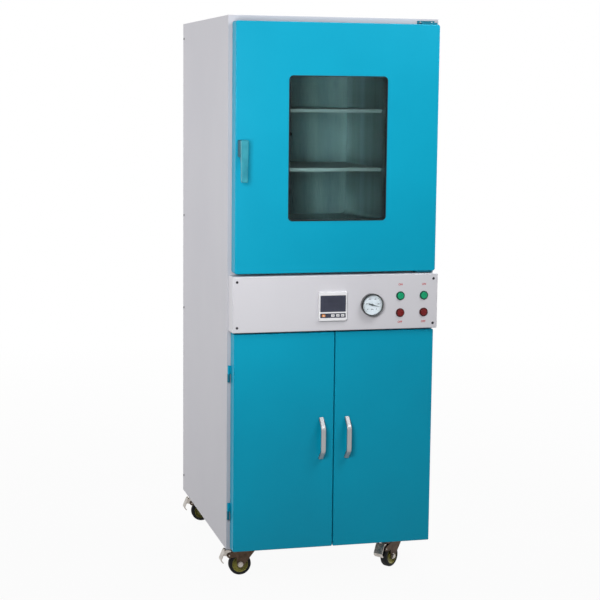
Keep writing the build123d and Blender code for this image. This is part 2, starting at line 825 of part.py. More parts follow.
# ---------------------------------------------------------------- pump compartment doors
def cabinet_door(side):
    x = side * lower_door_centre
    z = lower_door_z + lower_door_height / 2
    door = pan(x, z, lower_door_width, lower_door_height, skin_edge_radius,
               lower_door_front, front_y - seat_gap, skin_lip)
    barrel_x = side * (half_width - barrel_inset)
    barrel_y = front_y - barrel_depth
    door_edge = side * (half_width - door_side_inset)
    for level in hinge_levels:
        middle = level + barrel_gap / 2
        top = level + barrel_length / 2
        knuckle = rod((barrel_x, barrel_y, middle), (0, 0, 1), barrel_radius, top - middle)
        low, high = sorted((barrel_x, door_edge))
        leaf = block(low, high, barrel_y - hinge_leaf / 2, barrel_y + hinge_leaf / 2, middle, top)
        bore = rod((barrel_x, barrel_y, middle - 1), (0, 0, 1),
                   barrel_pin_radius + running_clearance, top - middle - 2)
        door += knuckle + leaf - bore
        door -= bore
    return door


def hinge_barrels():
    # The frame halves of the four lower-door hinges, each with its pin.
    halves = []
    barrel_y = front_y - barrel_depth
    for side in (-1, 1):
        barrel_x = side * (half_width - barrel_inset)
        for level in hinge_levels:
            middle = level - barrel_gap / 2
            bottom = level - barrel_length / 2
            barrel = rod((barrel_x, barrel_y, bottom), (0, 0, 1), barrel_radius, middle - bottom)
            foot = block(barrel_x - barrel_radius, barrel_x + barrel_radius, barrel_y, front_y,
                         bottom, middle)
            pin = rod((barrel_x, barrel_y, bottom), (0, 0, 1), barrel_pin_radius,
                      barrel_length - 8)
            halves.append(barrel + foot + pin)
    return halves


def bow_handle(side):
    # A flat bar bent into a bow, its two ends cut flush and butted on the door.
    x = side * bow_offset
    z = bottom_z + bow_height
    y = lower_door_front
    reach = y - bow_reach + bow_thickness / 2
    span = bow_span / 2
    grip = bow_grip / 2
    path = FilletPolyline((x, y, z - span), (x, reach, z - grip), (x, reach, z + grip),
                          (x, y, z + span), radius=bow_bend)
    direction = Vector(0, reach - y, span - grip)
    plane = Plane(origin=(x, y, z - span), x_dir=(1, 0, 0), z_dir=direction)
    bar = sweep(plane * RectangleRounded(bow_width, bow_thickness, bow_thickness * 0.35), path=path)
    return bar - block(x - bow_width, x + bow_width, y, y + 2 * bow_thickness,
                       z - 2 * span, z + 2 * span)


# ---------------------------------------------------------------- control panel
def button_places():
    places = {}
    for index, x in enumerate(button_columns, start=1):
        places[f"button_on_{index}"] = (x, panel_centre + green_rise)
        places[f"button_off_{index}"] = (x, panel_centre + red_rise)
    return places


def panel_screw_places():
    x = half_width - panel_side_inset - panel_screw_inset_x
    z = panel_height / 2 - panel_screw_inset_z
    return [(i * x, panel_centre + j * z) for i in (-1, 1) for j in (-1, 1)]


def control_panel():
    width = cabinet_width - 2 * panel_side_inset
    panel = pan(0, panel_centre, width, panel_height, panel_corner_radius,
                panel_front, front_y, skin_lip)
    depth = (panel_front - 1, panel_front + 2 * skin_sheet)
    hole = controller_body + 2 * body_clearance
    panel -= slab(controller_x, panel_centre + controller_rise, hole, hole, 2, *depth)
    panel -= rod((gauge_x, depth[0], panel_centre + gauge_rise), (0, 1, 0),
                 gauge_body_radius + body_clearance, depth[1] - depth[0])
    for x, z in button_places().values():
        panel -= rod((x, depth[0], z), (0, 1, 0), button_barrel_radius, depth[1] - depth[0])
    return panel


def controller_case():
    z = panel_centre + controller_rise
    front = panel_front - controller_proud
    bezel = slab(controller_x, z, controller_size, controller_size, controller_corner,
                 front, panel_front)
    bezel = soften_front(bezel, controller_corner / 2)
    body = slab(controller_x, z, controller_body, controller_body, 2,
                panel_front, panel_front + controller_body_depth)
    case = bezel + body
    case -= slab(controller_x, z + display_rise, display_width, display_height, 2,
                 front - 1, front + display_recess + display_thickness)
    case -= slab(controller_x, z - key_strip_drop, display_width, key_strip_height, 2,
                 front - 1, front + key_strip_depth)
    for offset in key_places.values():
        case -= slab(controller_x + offset, z - key_strip_drop, key_width + 2 * key_clearance,
                     key_height + 2 * key_clearance, 1.5, front, key_back() + key_travel + key_floor)
    return case


def key_back():
    return panel_front - controller_proud + key_strip_depth - key_proud + key_depth


def controller_window():
    z = panel_centre + controller_rise + display_rise
    front = panel_front - controller_proud + display_recess
    return slab(controller_x, z, display_width, display_height, 2, front, front + display_thickness)


def key(offset):
    z = panel_centre + controller_rise - key_strip_drop
    back = key_back()
    cap = slab(controller_x + offset, z, key_width, key_height, 1.5, back - key_depth, back)
    return soften_front(cap, 0.5)


def gauge_case():
    # Bezel, bowl and the threaded body behind the panel, turned as one profile.
    z = panel_centre + gauge_rise
    lip = gauge_radius - gauge_bezel
    outline = [(0, panel_front - gauge_proud + dial_depth + dial_thickness)]
    outline += [(lip, panel_front - gauge_proud + dial_depth + dial_thickness)]
    outline += [(lip, panel_front - gauge_proud), (gauge_radius - 1.5, panel_front - gauge_proud)]
    outline += [(gauge_radius, panel_front - gauge_proud + 2.5), (gauge_radius, panel_front)]
    outline += [(gauge_body_radius, panel_front)]
    outline += [(gauge_body_radius, panel_front + gauge_body_depth)]
    outline += [(0, panel_front + gauge_body_depth)]
    face = make_face(Plane.XY * Polyline(*outline, close=True))
    return Pos(gauge_x, 0, z) * revolve(face, Axis.Y)


def gauge_dial():
    z = panel_centre + gauge_rise
    face_y = panel_front - gauge_proud + dial_depth
    dial = rod((gauge_x, face_y, z), (0, 1, 0), dial_radius, dial_thickness)
    pin_length = needle_gap + needle_thickness + needle_gap
    return dial + rod((gauge_x, face_y - pin_length, z), (0, 1, 0), dial_pin_radius,
                      pin_length + dial_thickness)


def gauge_glass():
    z = panel_centre + gauge_rise
    front = panel_front - gauge_proud + gauge_glass_recess
    return rod((gauge_x, front, z), (0, 1, 0), gauge_radius - gauge_bezel, gauge_glass_thickness)


def gauge_needle():
    # A tapering pointer: its broad tail one side of the hub and its fine tip on the other.
    z = panel_centre + gauge_rise
    face_y = panel_front - gauge_proud + dial_depth
    tail = needle_tail_width / 2
    tip = needle_tip_width / 2
    outline = Polyline((-needle_tail, -tail), (needle_tip, -tip), (needle_tip, tip),
                       (-needle_tail, tail), close=True)
    plane = facing(gauge_x, face_y - needle_gap, z)
    flat = make_face(plane * Rot(0, 0, needle_rest) * outline) + plane * Circle(needle_hub)
    needle = extrude(flat, amount=needle_thickness)
    return needle - rod((gauge_x, face_y, z), (0, -1, 0), dial_pin_radius + running_clearance, 9)


def button_bezel(x, z):
    front = panel_front - button_bezel_proud
    bezel = rod((x, front, z), (0, 1, 0), button_bezel_radius, button_bezel_proud)
    bezel = chamfer(bezel.faces().sort_by(Axis.Y)[0].edges(), button_bezel_proud * 0.4)
    barrel = rod((x, panel_front, z), (0, 1, 0), button_barrel_radius, button_barrel_depth)
    bore_depth = button_cap_depth - button_cap_proud + button_travel + 1
    bore = rod((x, front - 1, z), (0, 1, 0), button_cap_radius + button_bore_clearance,
               bore_depth + 1)
    return bezel + barrel - bore


def button_cap(x, z):
    front = panel_front - button_bezel_proud - button_cap_proud
    cap = rod((x, front, z), (0, 1, 0), button_cap_radius, button_cap_depth)
    return fillet(cap.faces().sort_by(Axis.Y)[0].edges(), 1)


def cabinet_screws():
    screws = [screw_head((x, panel_front, z), (0, -1, 0)) for x, z in panel_screw_places()]
    for side in (-1, 1):
        for level in side_screw_levels:
            start = (side * half_width, back_y - side_screw_inset, level)
            screws.append(screw_head(start, (side, 0, 0)))
    return screws


# ---------------------------------------------------------------- casters
def caster_places():
    x = half_width - caster_side_inset
    front = front_y + caster_end_inset
    back = back_y - caster_end_inset
    places = {"front_left": (-x, front), "front_right": (x, front)}
    places.update({"rear_left": (-x, back), "rear_right": (x, back)})
    return places


def place_caster(shape, corner):
    # A caster is drawn with its trail along +X and its top face at z = 0.
    x, y = caster_places()[corner]
    return Pos(x, y, bottom_z) * Rot(0, 0, caster_headings[corner]) * shape


def fork_half():
    return wheel_width / 2 + fork_side_clearance


def caster_plate():
    plate = Pos(0, 0, -plate_thickness / 2) * Box(plate_length, plate_width, plate_thickness)
    plate = fillet(plate.edges().filter_by(Axis.Z), 8)
    for x in (-plate_hole_length / 2, plate_hole_length / 2):
        for y in (-plate_hole_width / 2, plate_hole_width / 2):
            plate -= rod((x, y, 1), (0, 0, -1), plate_hole_radius, plate_thickness + 2)
    race = rod((0, 0, -plate_thickness), (0, 0, -1), race_radius, race_depth)
    race = chamfer(race.faces().sort_by(Axis.Z)[0].edges(), race_depth * 0.5)
    pin_length = race_depth + 2 * fork_gap + crown_thickness
    pin = rod((0, 0, -plate_thickness), (0, 0, -1), king_pin_radius, pin_length)
    head_z = -plate_thickness - pin_length
    head = rod((0, 0, head_z), (0, 0, -1), king_pin_head_radius, king_pin_head)
    return plate + race + pin + head


def crown_top():
    return -plate_thickness - race_depth - fork_gap


def wheel_centre():
    return caster_trail, -caster_height + wheel_radius


def fork_leg(side):
    # A tapering leg from the crown to the axle, and an arm back over the wheel to the pedal.
    x, z = wheel_centre()
    top = crown_top()
    crown_edge = crown_radius * 0.86
    eye = Pos(x, z) * Circle(axle_eye_radius)
    knee = Pos(fork_knee_back, -fork_knee_drop) * Circle(fork_knee_radius)
    pedal_eye = Pos(pedal_pivot_x, -pedal_pivot_drop) * Circle(pedal_eye_radius)
    crown_bar = Pos(0, top - crown_thickness / 2) * Rectangle(2 * crown_edge, crown_thickness)
    leg = make_hull([*eye.edges(), *knee.edges(), *crown_bar.edges()])
    arm = make_hull([*pedal_eye.edges(), *knee.edges(), *crown_bar.edges()])
    outline = leg + arm
    inner = side * fork_half()
    plane = Plane(origin=(0, inner, 0), x_dir=(1, 0, 0), z_dir=(0, -1, 0))
    return extrude(plane * outline, amount=-side * fork_sheet)


def caster_fork():
    x, z = wheel_centre()
    top = crown_top()
    reach = fork_half() + fork_sheet
    crown = rod((0, 0, top), (0, 0, -1), crown_radius, crown_thickness)
    trimmed = crown & block(-crown_radius, crown_radius, -reach, reach, top - crown_thickness, top)
    fork = trimmed + fork_leg(-1) + fork_leg(1)
    fork -= rod((0, 0, top + 1), (0, 0, -1), king_pin_radius + running_clearance,
                crown_thickness + 2)
    fork -= rod((pedal_pivot_x, -reach - 1, -pedal_pivot_drop), (0, 1, 0),
                pedal_pin_radius + running_clearance, 2 * reach + 2)
    axle = rod((x, -reach, z), (0, 1, 0), axle_radius, 2 * reach)
    nut = extrude(facing(x, -reach, z) * RegularPolygon(axle_head_radius, 6), amount=axle_head)
    head = rod((x, reach, z), (0, 1, 0), axle_head_radius, axle_head)
    return fork + axle + nut + head


def caster_wheel():
    # The tyre and the hub it is pressed on, both turned about the axle.
    x, z = wheel_centre()
    half = wheel_width / 2
    tyre = rod((0, -half, 0), (0, 1, 0), wheel_radius, wheel_width)
    tyre = fillet(tyre.edges(), wheel_edge)
    tyre -= rod((0, -half - 1, 0), (0, 1, 0), hub_radius, wheel_width + 2)
    boss_half = fork_half() - hub_side_clearance
    rim_inner = hub_radius - hub_rim
    web = half - hub_recess
    outline = Polyline((axle_radius + running_clearance, 0), (axle_radius + running_clearance, boss_half),
                       (hub_boss_radius, boss_half), (hub_boss_radius + 1, web), (rim_inner, web),
                       (rim_inner, half - 1), (hub_radius, half - 1), (hub_radius, 0), close=True)
    quarter = revolve(make_face(Plane.XY * outline), Axis.Y)
    hub = quarter + mirror(quarter, Plane.XZ)
    return Pos(x, 0, z) * tyre, Pos(x, 0, z) * hub


def caster_pedal():
    # A bent and curled sheet on its own trunnion, stiffened by a cheek down either side.
    pivot = (pedal_pivot_x, -pedal_pivot_drop)
    front = (pedal_front_back, -pedal_front_drop)
    knee = (pedal_knee_back, -pedal_knee_drop)
    tip = (pedal_tip_back, -pedal_tip_drop)
    curl = (pedal_curl_back, -pedal_curl_drop)
    run = FilletPolyline(front, knee, tip, curl, radius=pedal_bend)
    plane = Plane(origin=(0, pedal_width / 2, 0), x_dir=(1, 0, 0), z_dir=(0, -1, 0))
    strip = trace(run, pedal_sheet)
    pedal = extrude(plane * strip, amount=pedal_width)
    wide = Plane(origin=(0, pedal_pad_width / 2, 0), x_dir=(1, 0, 0), z_dir=(0, -1, 0))
    pad_start = pedal_pivot_x + pedal_eye_radius + 2.5
    pad = extrude(wide * strip, amount=pedal_pad_width)
    pedal += pad & block(pad_start, 2 * pad_start, -pedal_pad_width, pedal_pad_width, -100, 0)
    hub = Pos(*pivot) * Circle(pedal_barrel_radius)
    bends = [Pos(*p) * Circle(pedal_sheet / 2) for p in (front, knee)]
    heel = Pos((knee[0] + tip[0]) / 2, (knee[1] + tip[1]) / 2) * Circle(pedal_sheet / 2)
    cheek = make_hull([edge for disc in (hub, *bends, heel) for edge in disc.edges()])
    for inner in (pedal_width / 2, pedal_cheek - pedal_width / 2):
        side = Plane(origin=(0, inner, 0), x_dir=(1, 0, 0), z_dir=(0, -1, 0))
        pedal += extrude(side * cheek, amount=pedal_cheek)
    pedal += rod((pivot[0], -pedal_width / 2, pivot[1]), (0, 1, 0), pedal_barrel_radius, pedal_width)
    reach = fork_half() + fork_sheet
    return pedal + rod((pivot[0], -reach, pivot[1]), (0, 1, 0), pedal_pin_radius, 2 * reach)


# ---------------------------------------------------------------- write every piece
save("side_panels", *side_panels())
save("top_cover", top_cover())
save("base_tray", base_tray())
save("inner_decks", *inner_decks())
save("back_panels", *back_panels(), cable_gland())
save("front_frame", front_frame())
save("chamber_shell", chamber_shell())
save("chamber_flange", chamber_flange())
save("door_seal", door_seal())
save("chamber_ribs", *chamber_ribs())
save("heater_pads", *heater_pads())
save("insulation", insulation())
save("shelf_rails", *shelf_rails())
save("shelves", *[shelf(level) for level in shelf_levels])
save("vacuum_line", vacuum_pipe(), hose_nozzle(), vacuum_valve())

save("door_skin", door_skin())
save("door_inner_plate", door_inner_plate(), *stiffener_rails())
save("window_gasket", window_gasket())
save("window_glass", *window_glass())
save("window_liner", window_liner())
save("door_bushes", *door_bushes())
save("door_brackets", *door_brackets())
save("latch_base", latch_base())
save("latch_handle", latch_handle())
save("latch_spindle", latch_spindle())

save("hinge_barrels", *hinge_barrels())
for name, side in (("left", -1), ("right", 1)):
    save(f"cabinet_door_{name}", cabinet_door(side))
    save(f"bow_handle_{name}", bow_handle(side))

save("control_panel", control_panel())
save("controller_case", controller_case())
save("controller_window", controller_window())
for name, offset in key_places.items():
    save(f"key_{name}", key(offset))
save("gauge_case", gauge_case())
save("gauge_dial", gauge_dial())
save("gauge_glass", gauge_glass())
save("gauge_needle", gauge_needle())
save("button_bezels", *[button_bezel(x, z) for x, z in button_places().values()])
for name, place in button_places().items():
    save(name, button_cap(*place))
save("cabinet_screws", *cabinet_screws())

save("caster_plates", *[place_caster(caster_plate(), corner) for corner in caster_headings])
for corner in caster_headings:
    save(f"caster_fork_{corner}", place_caster(caster_fork(), corner))
    save(f"caster_wheel_{corner}", *[place_caster(piece, corner) for piece in caster_wheel()])
    save(f"caster_pedal_{corner}", place_caster(caster_pedal(), corner))
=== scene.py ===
import math
import bmesh
import bpy
from mathutils import Euler, Matrix, Vector


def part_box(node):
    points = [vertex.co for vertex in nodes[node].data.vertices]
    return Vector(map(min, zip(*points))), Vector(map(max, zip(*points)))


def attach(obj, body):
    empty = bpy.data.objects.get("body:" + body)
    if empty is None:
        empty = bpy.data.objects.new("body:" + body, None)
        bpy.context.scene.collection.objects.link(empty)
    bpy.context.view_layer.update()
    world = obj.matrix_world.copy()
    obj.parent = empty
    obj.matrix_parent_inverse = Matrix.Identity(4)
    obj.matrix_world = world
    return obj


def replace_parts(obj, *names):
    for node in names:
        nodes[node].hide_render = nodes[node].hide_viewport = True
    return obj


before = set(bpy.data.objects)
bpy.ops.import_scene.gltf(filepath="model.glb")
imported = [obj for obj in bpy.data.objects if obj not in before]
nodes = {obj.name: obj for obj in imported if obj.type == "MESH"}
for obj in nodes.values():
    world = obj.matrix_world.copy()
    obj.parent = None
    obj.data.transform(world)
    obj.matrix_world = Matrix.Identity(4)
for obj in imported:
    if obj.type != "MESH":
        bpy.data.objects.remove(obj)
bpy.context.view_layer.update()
scene = bpy.context.scene
scene.view_settings.view_transform = "Standard"
print("frame loaded:", len(nodes), "nodes")

mm = 0.001
weld = 0.002 * mm         # corners nearer than this are one corner


# ---- camera and lamps
camera = {
    "place": (-1.3767, -5.2543, 1.616),
    "yaw": 14.547,          # degrees, turned to the right of the +Y direction
    "pitch": 7.706,         # downwards
    "roll": 0.602,
    "lens": 93.54,
    "sensor": 36.0,
    "farthest": 60.0,       # metres
}


def setCamera():
    data = bpy.data.cameras.new("camera")
    data.lens = camera["lens"]
    data.sensor_width = camera["sensor"]
    data.clip_end = camera["farthest"]
    seer = bpy.data.objects.new("camera", data)
    yaw, pitch, roll = (math.radians(camera[k]) for k in ("yaw", "pitch", "roll"))
    level = Vector((math.sin(yaw), math.cos(yaw), 0.0))
    ahead = level * math.cos(pitch) - Vector((0, 0, math.sin(pitch)))
    right = Vector((math.cos(yaw), -math.sin(yaw), 0.0))
    up = right.cross(ahead)
    across = right * math.cos(roll) + up * math.sin(roll)
    upright = up * math.cos(roll) - right * math.sin(roll)
    turn = Matrix((across, upright, -ahead)).transposed()
    seer.matrix_world = Matrix.Translation(camera["place"]) @ turn.to_4x4()
    scene.collection.objects.link(seer)
    scene.camera = seer


# "inPanes" says whether a lamp shows through the panes: from behind the open door it would
# be a white square there
softboxes = {
    "keyLamp": {"place": (-0.86, -1.9, 1.55), "aim": (-0.17, -0.3, 1.3), "size": 0.7,
                "watts": 23.0, "inPanes": True},
    "fillLamp": {"place": (0.90, -1.45, 2.72), "aim": (0.2, -0.4, 1.75), "size": 1.0,
                 "watts": 25.0, "inPanes": True},
    "rearLamp": {"place": (0.8, 3.4, 1.9), "aim": (0.0, 0.4, 1.1), "size": 2.0,
                 "watts": 72.0, "inPanes": False},
    "sideLamp": {"place": (-2.7, 0.95, 1.6), "aim": (-0.2, 0.0, 1.2), "size": 1.8,
                 "watts": 42.0, "inPanes": True},
    "rightLamp": {"place": (2.9, 0.95, 1.6), "aim": (0.2, 0.0, 1.2), "size": 1.8,
                  "watts": 44.0, "inPanes": False},
    "topLamp": {"place": (0.0, 0.7, 4.2), "aim": (0.0, 0.1, 1.85), "size": 1.5,
                "watts": 32.0, "inPanes": False},
}


def setLamps():
    for name, lamp in softboxes.items():
        light = bpy.data.lights.new(name, "AREA")
        light.shape = "SQUARE"
        light.size = lamp["size"]
        light.energy = lamp["watts"]
        holder = bpy.data.objects.new(name, light)
        aim = Vector(lamp["aim"]) - Vector(lamp["place"])
        holder.location = lamp["place"]
        holder.rotation_euler = aim.to_track_quat("-Z", "Y").to_euler()
        holder.visible_transmission = lamp["inPanes"]
        scene.collection.objects.link(holder)


# ---- materials
def linear(hexCode):
    parts = [int(hexCode[i:i + 2], 16) / 255 for i in (0, 2, 4)]
    return [c / 12.92 if c <= 0.04045 else ((c + 0.055) / 1.055) ** 2.4 for c in parts] + [1.0]


def addNode(tree, kind, settings=None, inputs=None):
    # settings are the node's own; inputs take a plain value or another node's output
    node = tree.nodes.new(kind)
    for key, value in (settings or {}).items():
        setattr(node, key, value)
    for key, value in (inputs or {}).items():
        if isinstance(value, bpy.types.NodeSocket):
            tree.links.new(value, node.inputs[key])
        else:
            node.inputs[key].default_value = value
    return node


def newMaterial(name):
    material = bpy.data.materials.new(name)
    material.use_nodes = True
    tree = material.node_tree
    tree.nodes.clear()
    shader = addNode(tree, "ShaderNodeBsdfPrincipled")
    output = addNode(tree, "ShaderNodeOutputMaterial", {}, {"Surface": shader.outputs[0]})
    return material, tree, shader, output


noiseSpan = {"From Min": 0.3, "From Max": 0.7}      # where a noise's values mostly lie
# what a finish has unless it says otherwise
plainLook = {"stretch": (1.0, 1.0, 1.0), "grainShare": 0.3, "relief": 0.3, "metal": 0.0,
             "ior": 1.5, "gloss": 0.5, "coat": 0.0, "coatRough": 0.08}


def finish(name, own):
    # one builder for every opaque finish: two tones that drift, a fine texture and its relief
    look = {**plainLook, **own}
    material, tree, shader, _ = newMaterial(name)
    place = addNode(tree, "ShaderNodeTexCoord").outputs["Object"]
    drawn = addNode(tree, "ShaderNodeMapping", {}, {
        "Vector": place, "Scale": look["stretch"]}).outputs[0]
    drift = addNode(tree, "ShaderNodeTexNoise", {}, {
        "Vector": drawn, "Scale": 1000.0 / look["driftMm"], "Detail": 3.0}).outputs["Fac"]
    grain = addNode(tree, "ShaderNodeTexNoise", {}, {
        "Vector": drawn, "Scale": 1000.0 / look["grainMm"], "Detail": 4.0,
        "Roughness": 0.6}).outputs["Fac"]
    wide, fine = (
        addNode(tree, "ShaderNodeMapRange", {}, {"Value": noise, **noiseSpan}).outputs[0]
        for noise in (drift, grain))
    blend = addNode(tree, "ShaderNodeMix", {"data_type": "FLOAT"}, {
        0: look["grainShare"], 2: wide, 3: fine}).outputs[0]
    tones = addNode(tree, "ShaderNodeMix", {"data_type": "RGBA"}, {
        0: blend, 6: linear(look["dark"]), 7: linear(look["light"])})
    tree.links.new(tones.outputs[2], shader.inputs["Base Color"])
    low, high = look["rough"]
    rough = addNode(tree, "ShaderNodeMapRange", {}, {
        "Value": blend, "To Min": low, "To Max": high})
    tree.links.new(rough.outputs[0], shader.inputs["Roughness"])
    bump = addNode(tree, "ShaderNodeBump", {}, {
        "Height": grain, "Strength": look["relief"], "Distance": look["depthMm"] * mm})
    tree.links.new(bump.outputs[0], shader.inputs["Normal"])
    for socket, key in (("Metallic", "metal"), ("IOR", "ior"), ("Specular IOR Level", "gloss"),
                        ("Coat Weight", "coat"), ("Coat Roughness", "coatRough")):
        shader.inputs[socket].default_value = look[key]
    return material


def glassSheet(name, look):
    # clear sheet that lets lamps through, so what is behind it is lit as it is behind a real pane
    material, tree, shader, output = newMaterial(name)
    place = addNode(tree, "ShaderNodeTexCoord").outputs["Object"]
    smear = addNode(tree, "ShaderNodeTexNoise", {}, {
        "Vector": place, "Scale": 1000.0 / look["smearMm"], "Detail": 3.0})
    body = addNode(tree, "ShaderNodeMix", {"data_type": "RGBA"}, {
        0: smear.outputs["Fac"], 6: linear(look["tint"]), 7: linear(look["paler"])})
    tree.links.new(body.outputs[2], shader.inputs["Base Color"])
    shader.inputs["Roughness"].default_value = look["rough"]
    shader.inputs["Transmission Weight"].default_value = 1.0
    shader.inputs["IOR"].default_value = look["ior"]
    clear = addNode(tree, "ShaderNodeBsdfTransparent", {}, {"Color": linear(look["shade"])})
    path = addNode(tree, "ShaderNodeLightPath")
    mix = addNode(tree, "ShaderNodeMixShader", {}, {
        0: path.outputs["Is Shadow Ray"], 1: shader.outputs[0], 2: clear.outputs[0]})
    tree.links.new(mix.outputs[0], output.inputs["Surface"])
    return material


# polyester powder coat: a sprayed and baked satin skin; its orange peel is 1 to 2 mm across on
# the real sheet and is drawn at 7 mm, the least that shows
powderCoat = {"driftMm": 420.0, "grainMm": 7.0, "grainShare": 0.12, "rough": (0.34, 0.42),
              "relief": 0.10, "depthMm": 0.25, "gloss": 0.22}
# brushed sheet: grain lines under 0.1 mm wide, drawn 1.5 mm wide so that they show
brushed = {"driftMm": 90.0, "grainMm": 1.5, "grainShare": 0.35, "metal": 1.0, "relief": 0.25,
           "depthMm": 0.05}
# moulded plastics and rubbers: an eroded mould face, 0.1 mm fine, drawn at 1.2 mm
moulded = {"driftMm": 60.0, "grainMm": 1.2, "relief": 0.15, "depthMm": 0.05, "ior": 1.46,
           "gloss": 0.4}

finishes = {
    # cabinet and panel: light satin greys, nearly even, a little cooler on the panel
    "cabinet_grey": finish("lightGreyPowderCoat", {
        **powderCoat, "dark": "BFBEC6", "light": "C9C8CE"}),
    "panel_grey": finish("paleGreyPowderCoat", {
        **powderCoat, "dark": "D2D1D7", "light": "DAD9DE"}),
    # doors: one clean satin teal over steel, with hardly any drift
    "door_teal": finish("tealPowderCoat", {
        **powderCoat, "dark": "0099BA", "light": "00A2C3", "gloss": 0.20}),
    "bracket_teal": finish("tealPaintedSteel", {
        **powderCoat, "dark": "0A6A80", "light": "12758A", "driftMm": 40.0}),
    # zinc casting under a thin pearl lacquer: a soft sheen, a little paler than the doors
    "latch_grey": finish("pearlLacqueredZinc", {
        **powderCoat, "dark": "147C8F", "light": "2C93A2", "driftMm": 30.0, "grainMm": 2.5,
        "metal": 0.10, "rough": (0.34, 0.46), "gloss": 0.4}),
    # chamber sheet: brushed upright, with wide soft streaks a hand's width apart
    # both tones are set dark: painted shade of the closed chamber
    "stainless": finish("brushedStainlessPaintedShade", {
        **brushed, "dark": "4E5B5D", "light": "ABB8BB", "stretch": (1.0, 1.0, 0.05),
        "rough": (0.24, 0.42)}),
    # caster pressings: yellowed zinc plate, cloudy, with random paler patches
    # its dark brown tones are partly painted shade from under the cabinet
    "zinc_steel": finish("yellowedZincPlatePaintedShade", {
        **brushed, "dark": "2E241D", "light": "5C4C40", "driftMm": 14.0, "rough": (0.30, 0.50)}),
    "plated_handle": finish("brushedNickelPlate", {
        **brushed, "dark": "909193", "light": "B0AFB0", "stretch": (1.0, 1.0, 0.08),
        "rough": (0.42, 0.52)}),
    "galvanised": finish("spangledGalvanisedSheet", {
        **brushed, "dark": "7C8183", "light": "A3A7A8", "driftMm": 12.0, "grainMm": 4.0,
        "grainShare": 0.6, "rough": (0.45, 0.62), "metal": 0.6}),
    "black_rubber": finish("mouldedRubber", {
        **moulded, "dark": "0C0C0D", "light": "171718", "rough": (0.55, 0.75), "relief": 0.4,
        "gloss": 0.25}),
    "silicone": finish("redSiliconeRubber", {
        **moulded, "dark": "8E3B2C", "light": "A04A38", "rough": (0.45, 0.60)}),
    "heater": finish("siliconeHeaterMat", {
        **moulded, "dark": "8A3A1E", "light": "A34A28", "rough": (0.55, 0.70), "relief": 0.6}),
    # controller case: a fine matt ABS, the whitest thing on the panel
    "white_case": finish("whiteAbs", {
        **moulded, "dark": "EAEAEE", "light": "F2F2F4", "rough": (0.36, 0.46)}),
    "display": finish("tintedDisplayWindow", {
        **moulded, "dark": "303342", "light": "434656", "driftMm": 45.0, "rough": (0.10, 0.16),
        "relief": 0.02, "gloss": 0.3}),
    "key_orange": finish("orangeSiliconeKey", {
        **moulded, "dark": "E28A2E", "light": "F09A3C", "rough": (0.45, 0.60)}),
    "key_white": finish("whiteSiliconeKey", {
        **moulded, "dark": "DEDEE0", "light": "EAEAEC", "rough": (0.45, 0.60)}),
    "dial_white": finish("whiteDialEnamel", {
        **moulded, "dark": "C9CBD3", "light": "D5D7DD", "driftMm": 25.0, "rough": (0.40, 0.50)}),
    "needle_black": finish("blackNeedleLacquer", {
        **moulded, "dark": "15171C", "light": "23252B", "rough": (0.35, 0.50)}),
    "gauge_black": finish("blackEnamelledSteel", {
        **moulded, "dark": "141516", "light": "26282A", "rough": (0.16, 0.28), "coat": 0.5}),
    "green_button": finish("greenPolycarbonateLens", {
        **moulded, "dark": "039061", "light": "0AA874", "driftMm": 12.0, "rough": (0.22, 0.34)}),
    "red_button": finish("redPolycarbonateLens", {
        **moulded, "dark": "660305", "light": "7C0507", "driftMm": 12.0, "rough": (0.22, 0.34)}),
    "wool": finish("mineralWool", {
        **moulded, "dark": "A8996F", "light": "CDBE93", "driftMm": 30.0, "grainMm": 6.0,
        "grainShare": 0.7, "rough": (0.85, 0.95), "relief": 0.9, "depthMm": 2.5}),
    "bush_nylon": finish("whiteNylon", {
        **moulded, "dark": "D2CFC4", "light": "DEDBD0", "rough": (0.42, 0.55)}),
    # toughened pane: a grey-green body, clear enough to see the shelves, little mirror on it
    "window_glass": glassSheet("toughenedPane", {
        "tint": "DDE9E8", "paler": "E5EFEE", "shade": "EEF4F4", "ior": 1.15, "smearMm": 120.0,
        "rough": 0.0}),
    "clear_glass": glassSheet("gaugePane", {
        "tint": "F2F7F7", "paler": "F6F9F9", "shade": "F2F6F6", "ior": 1.2, "smearMm": 20.0,
        "rough": 0.0}),
}
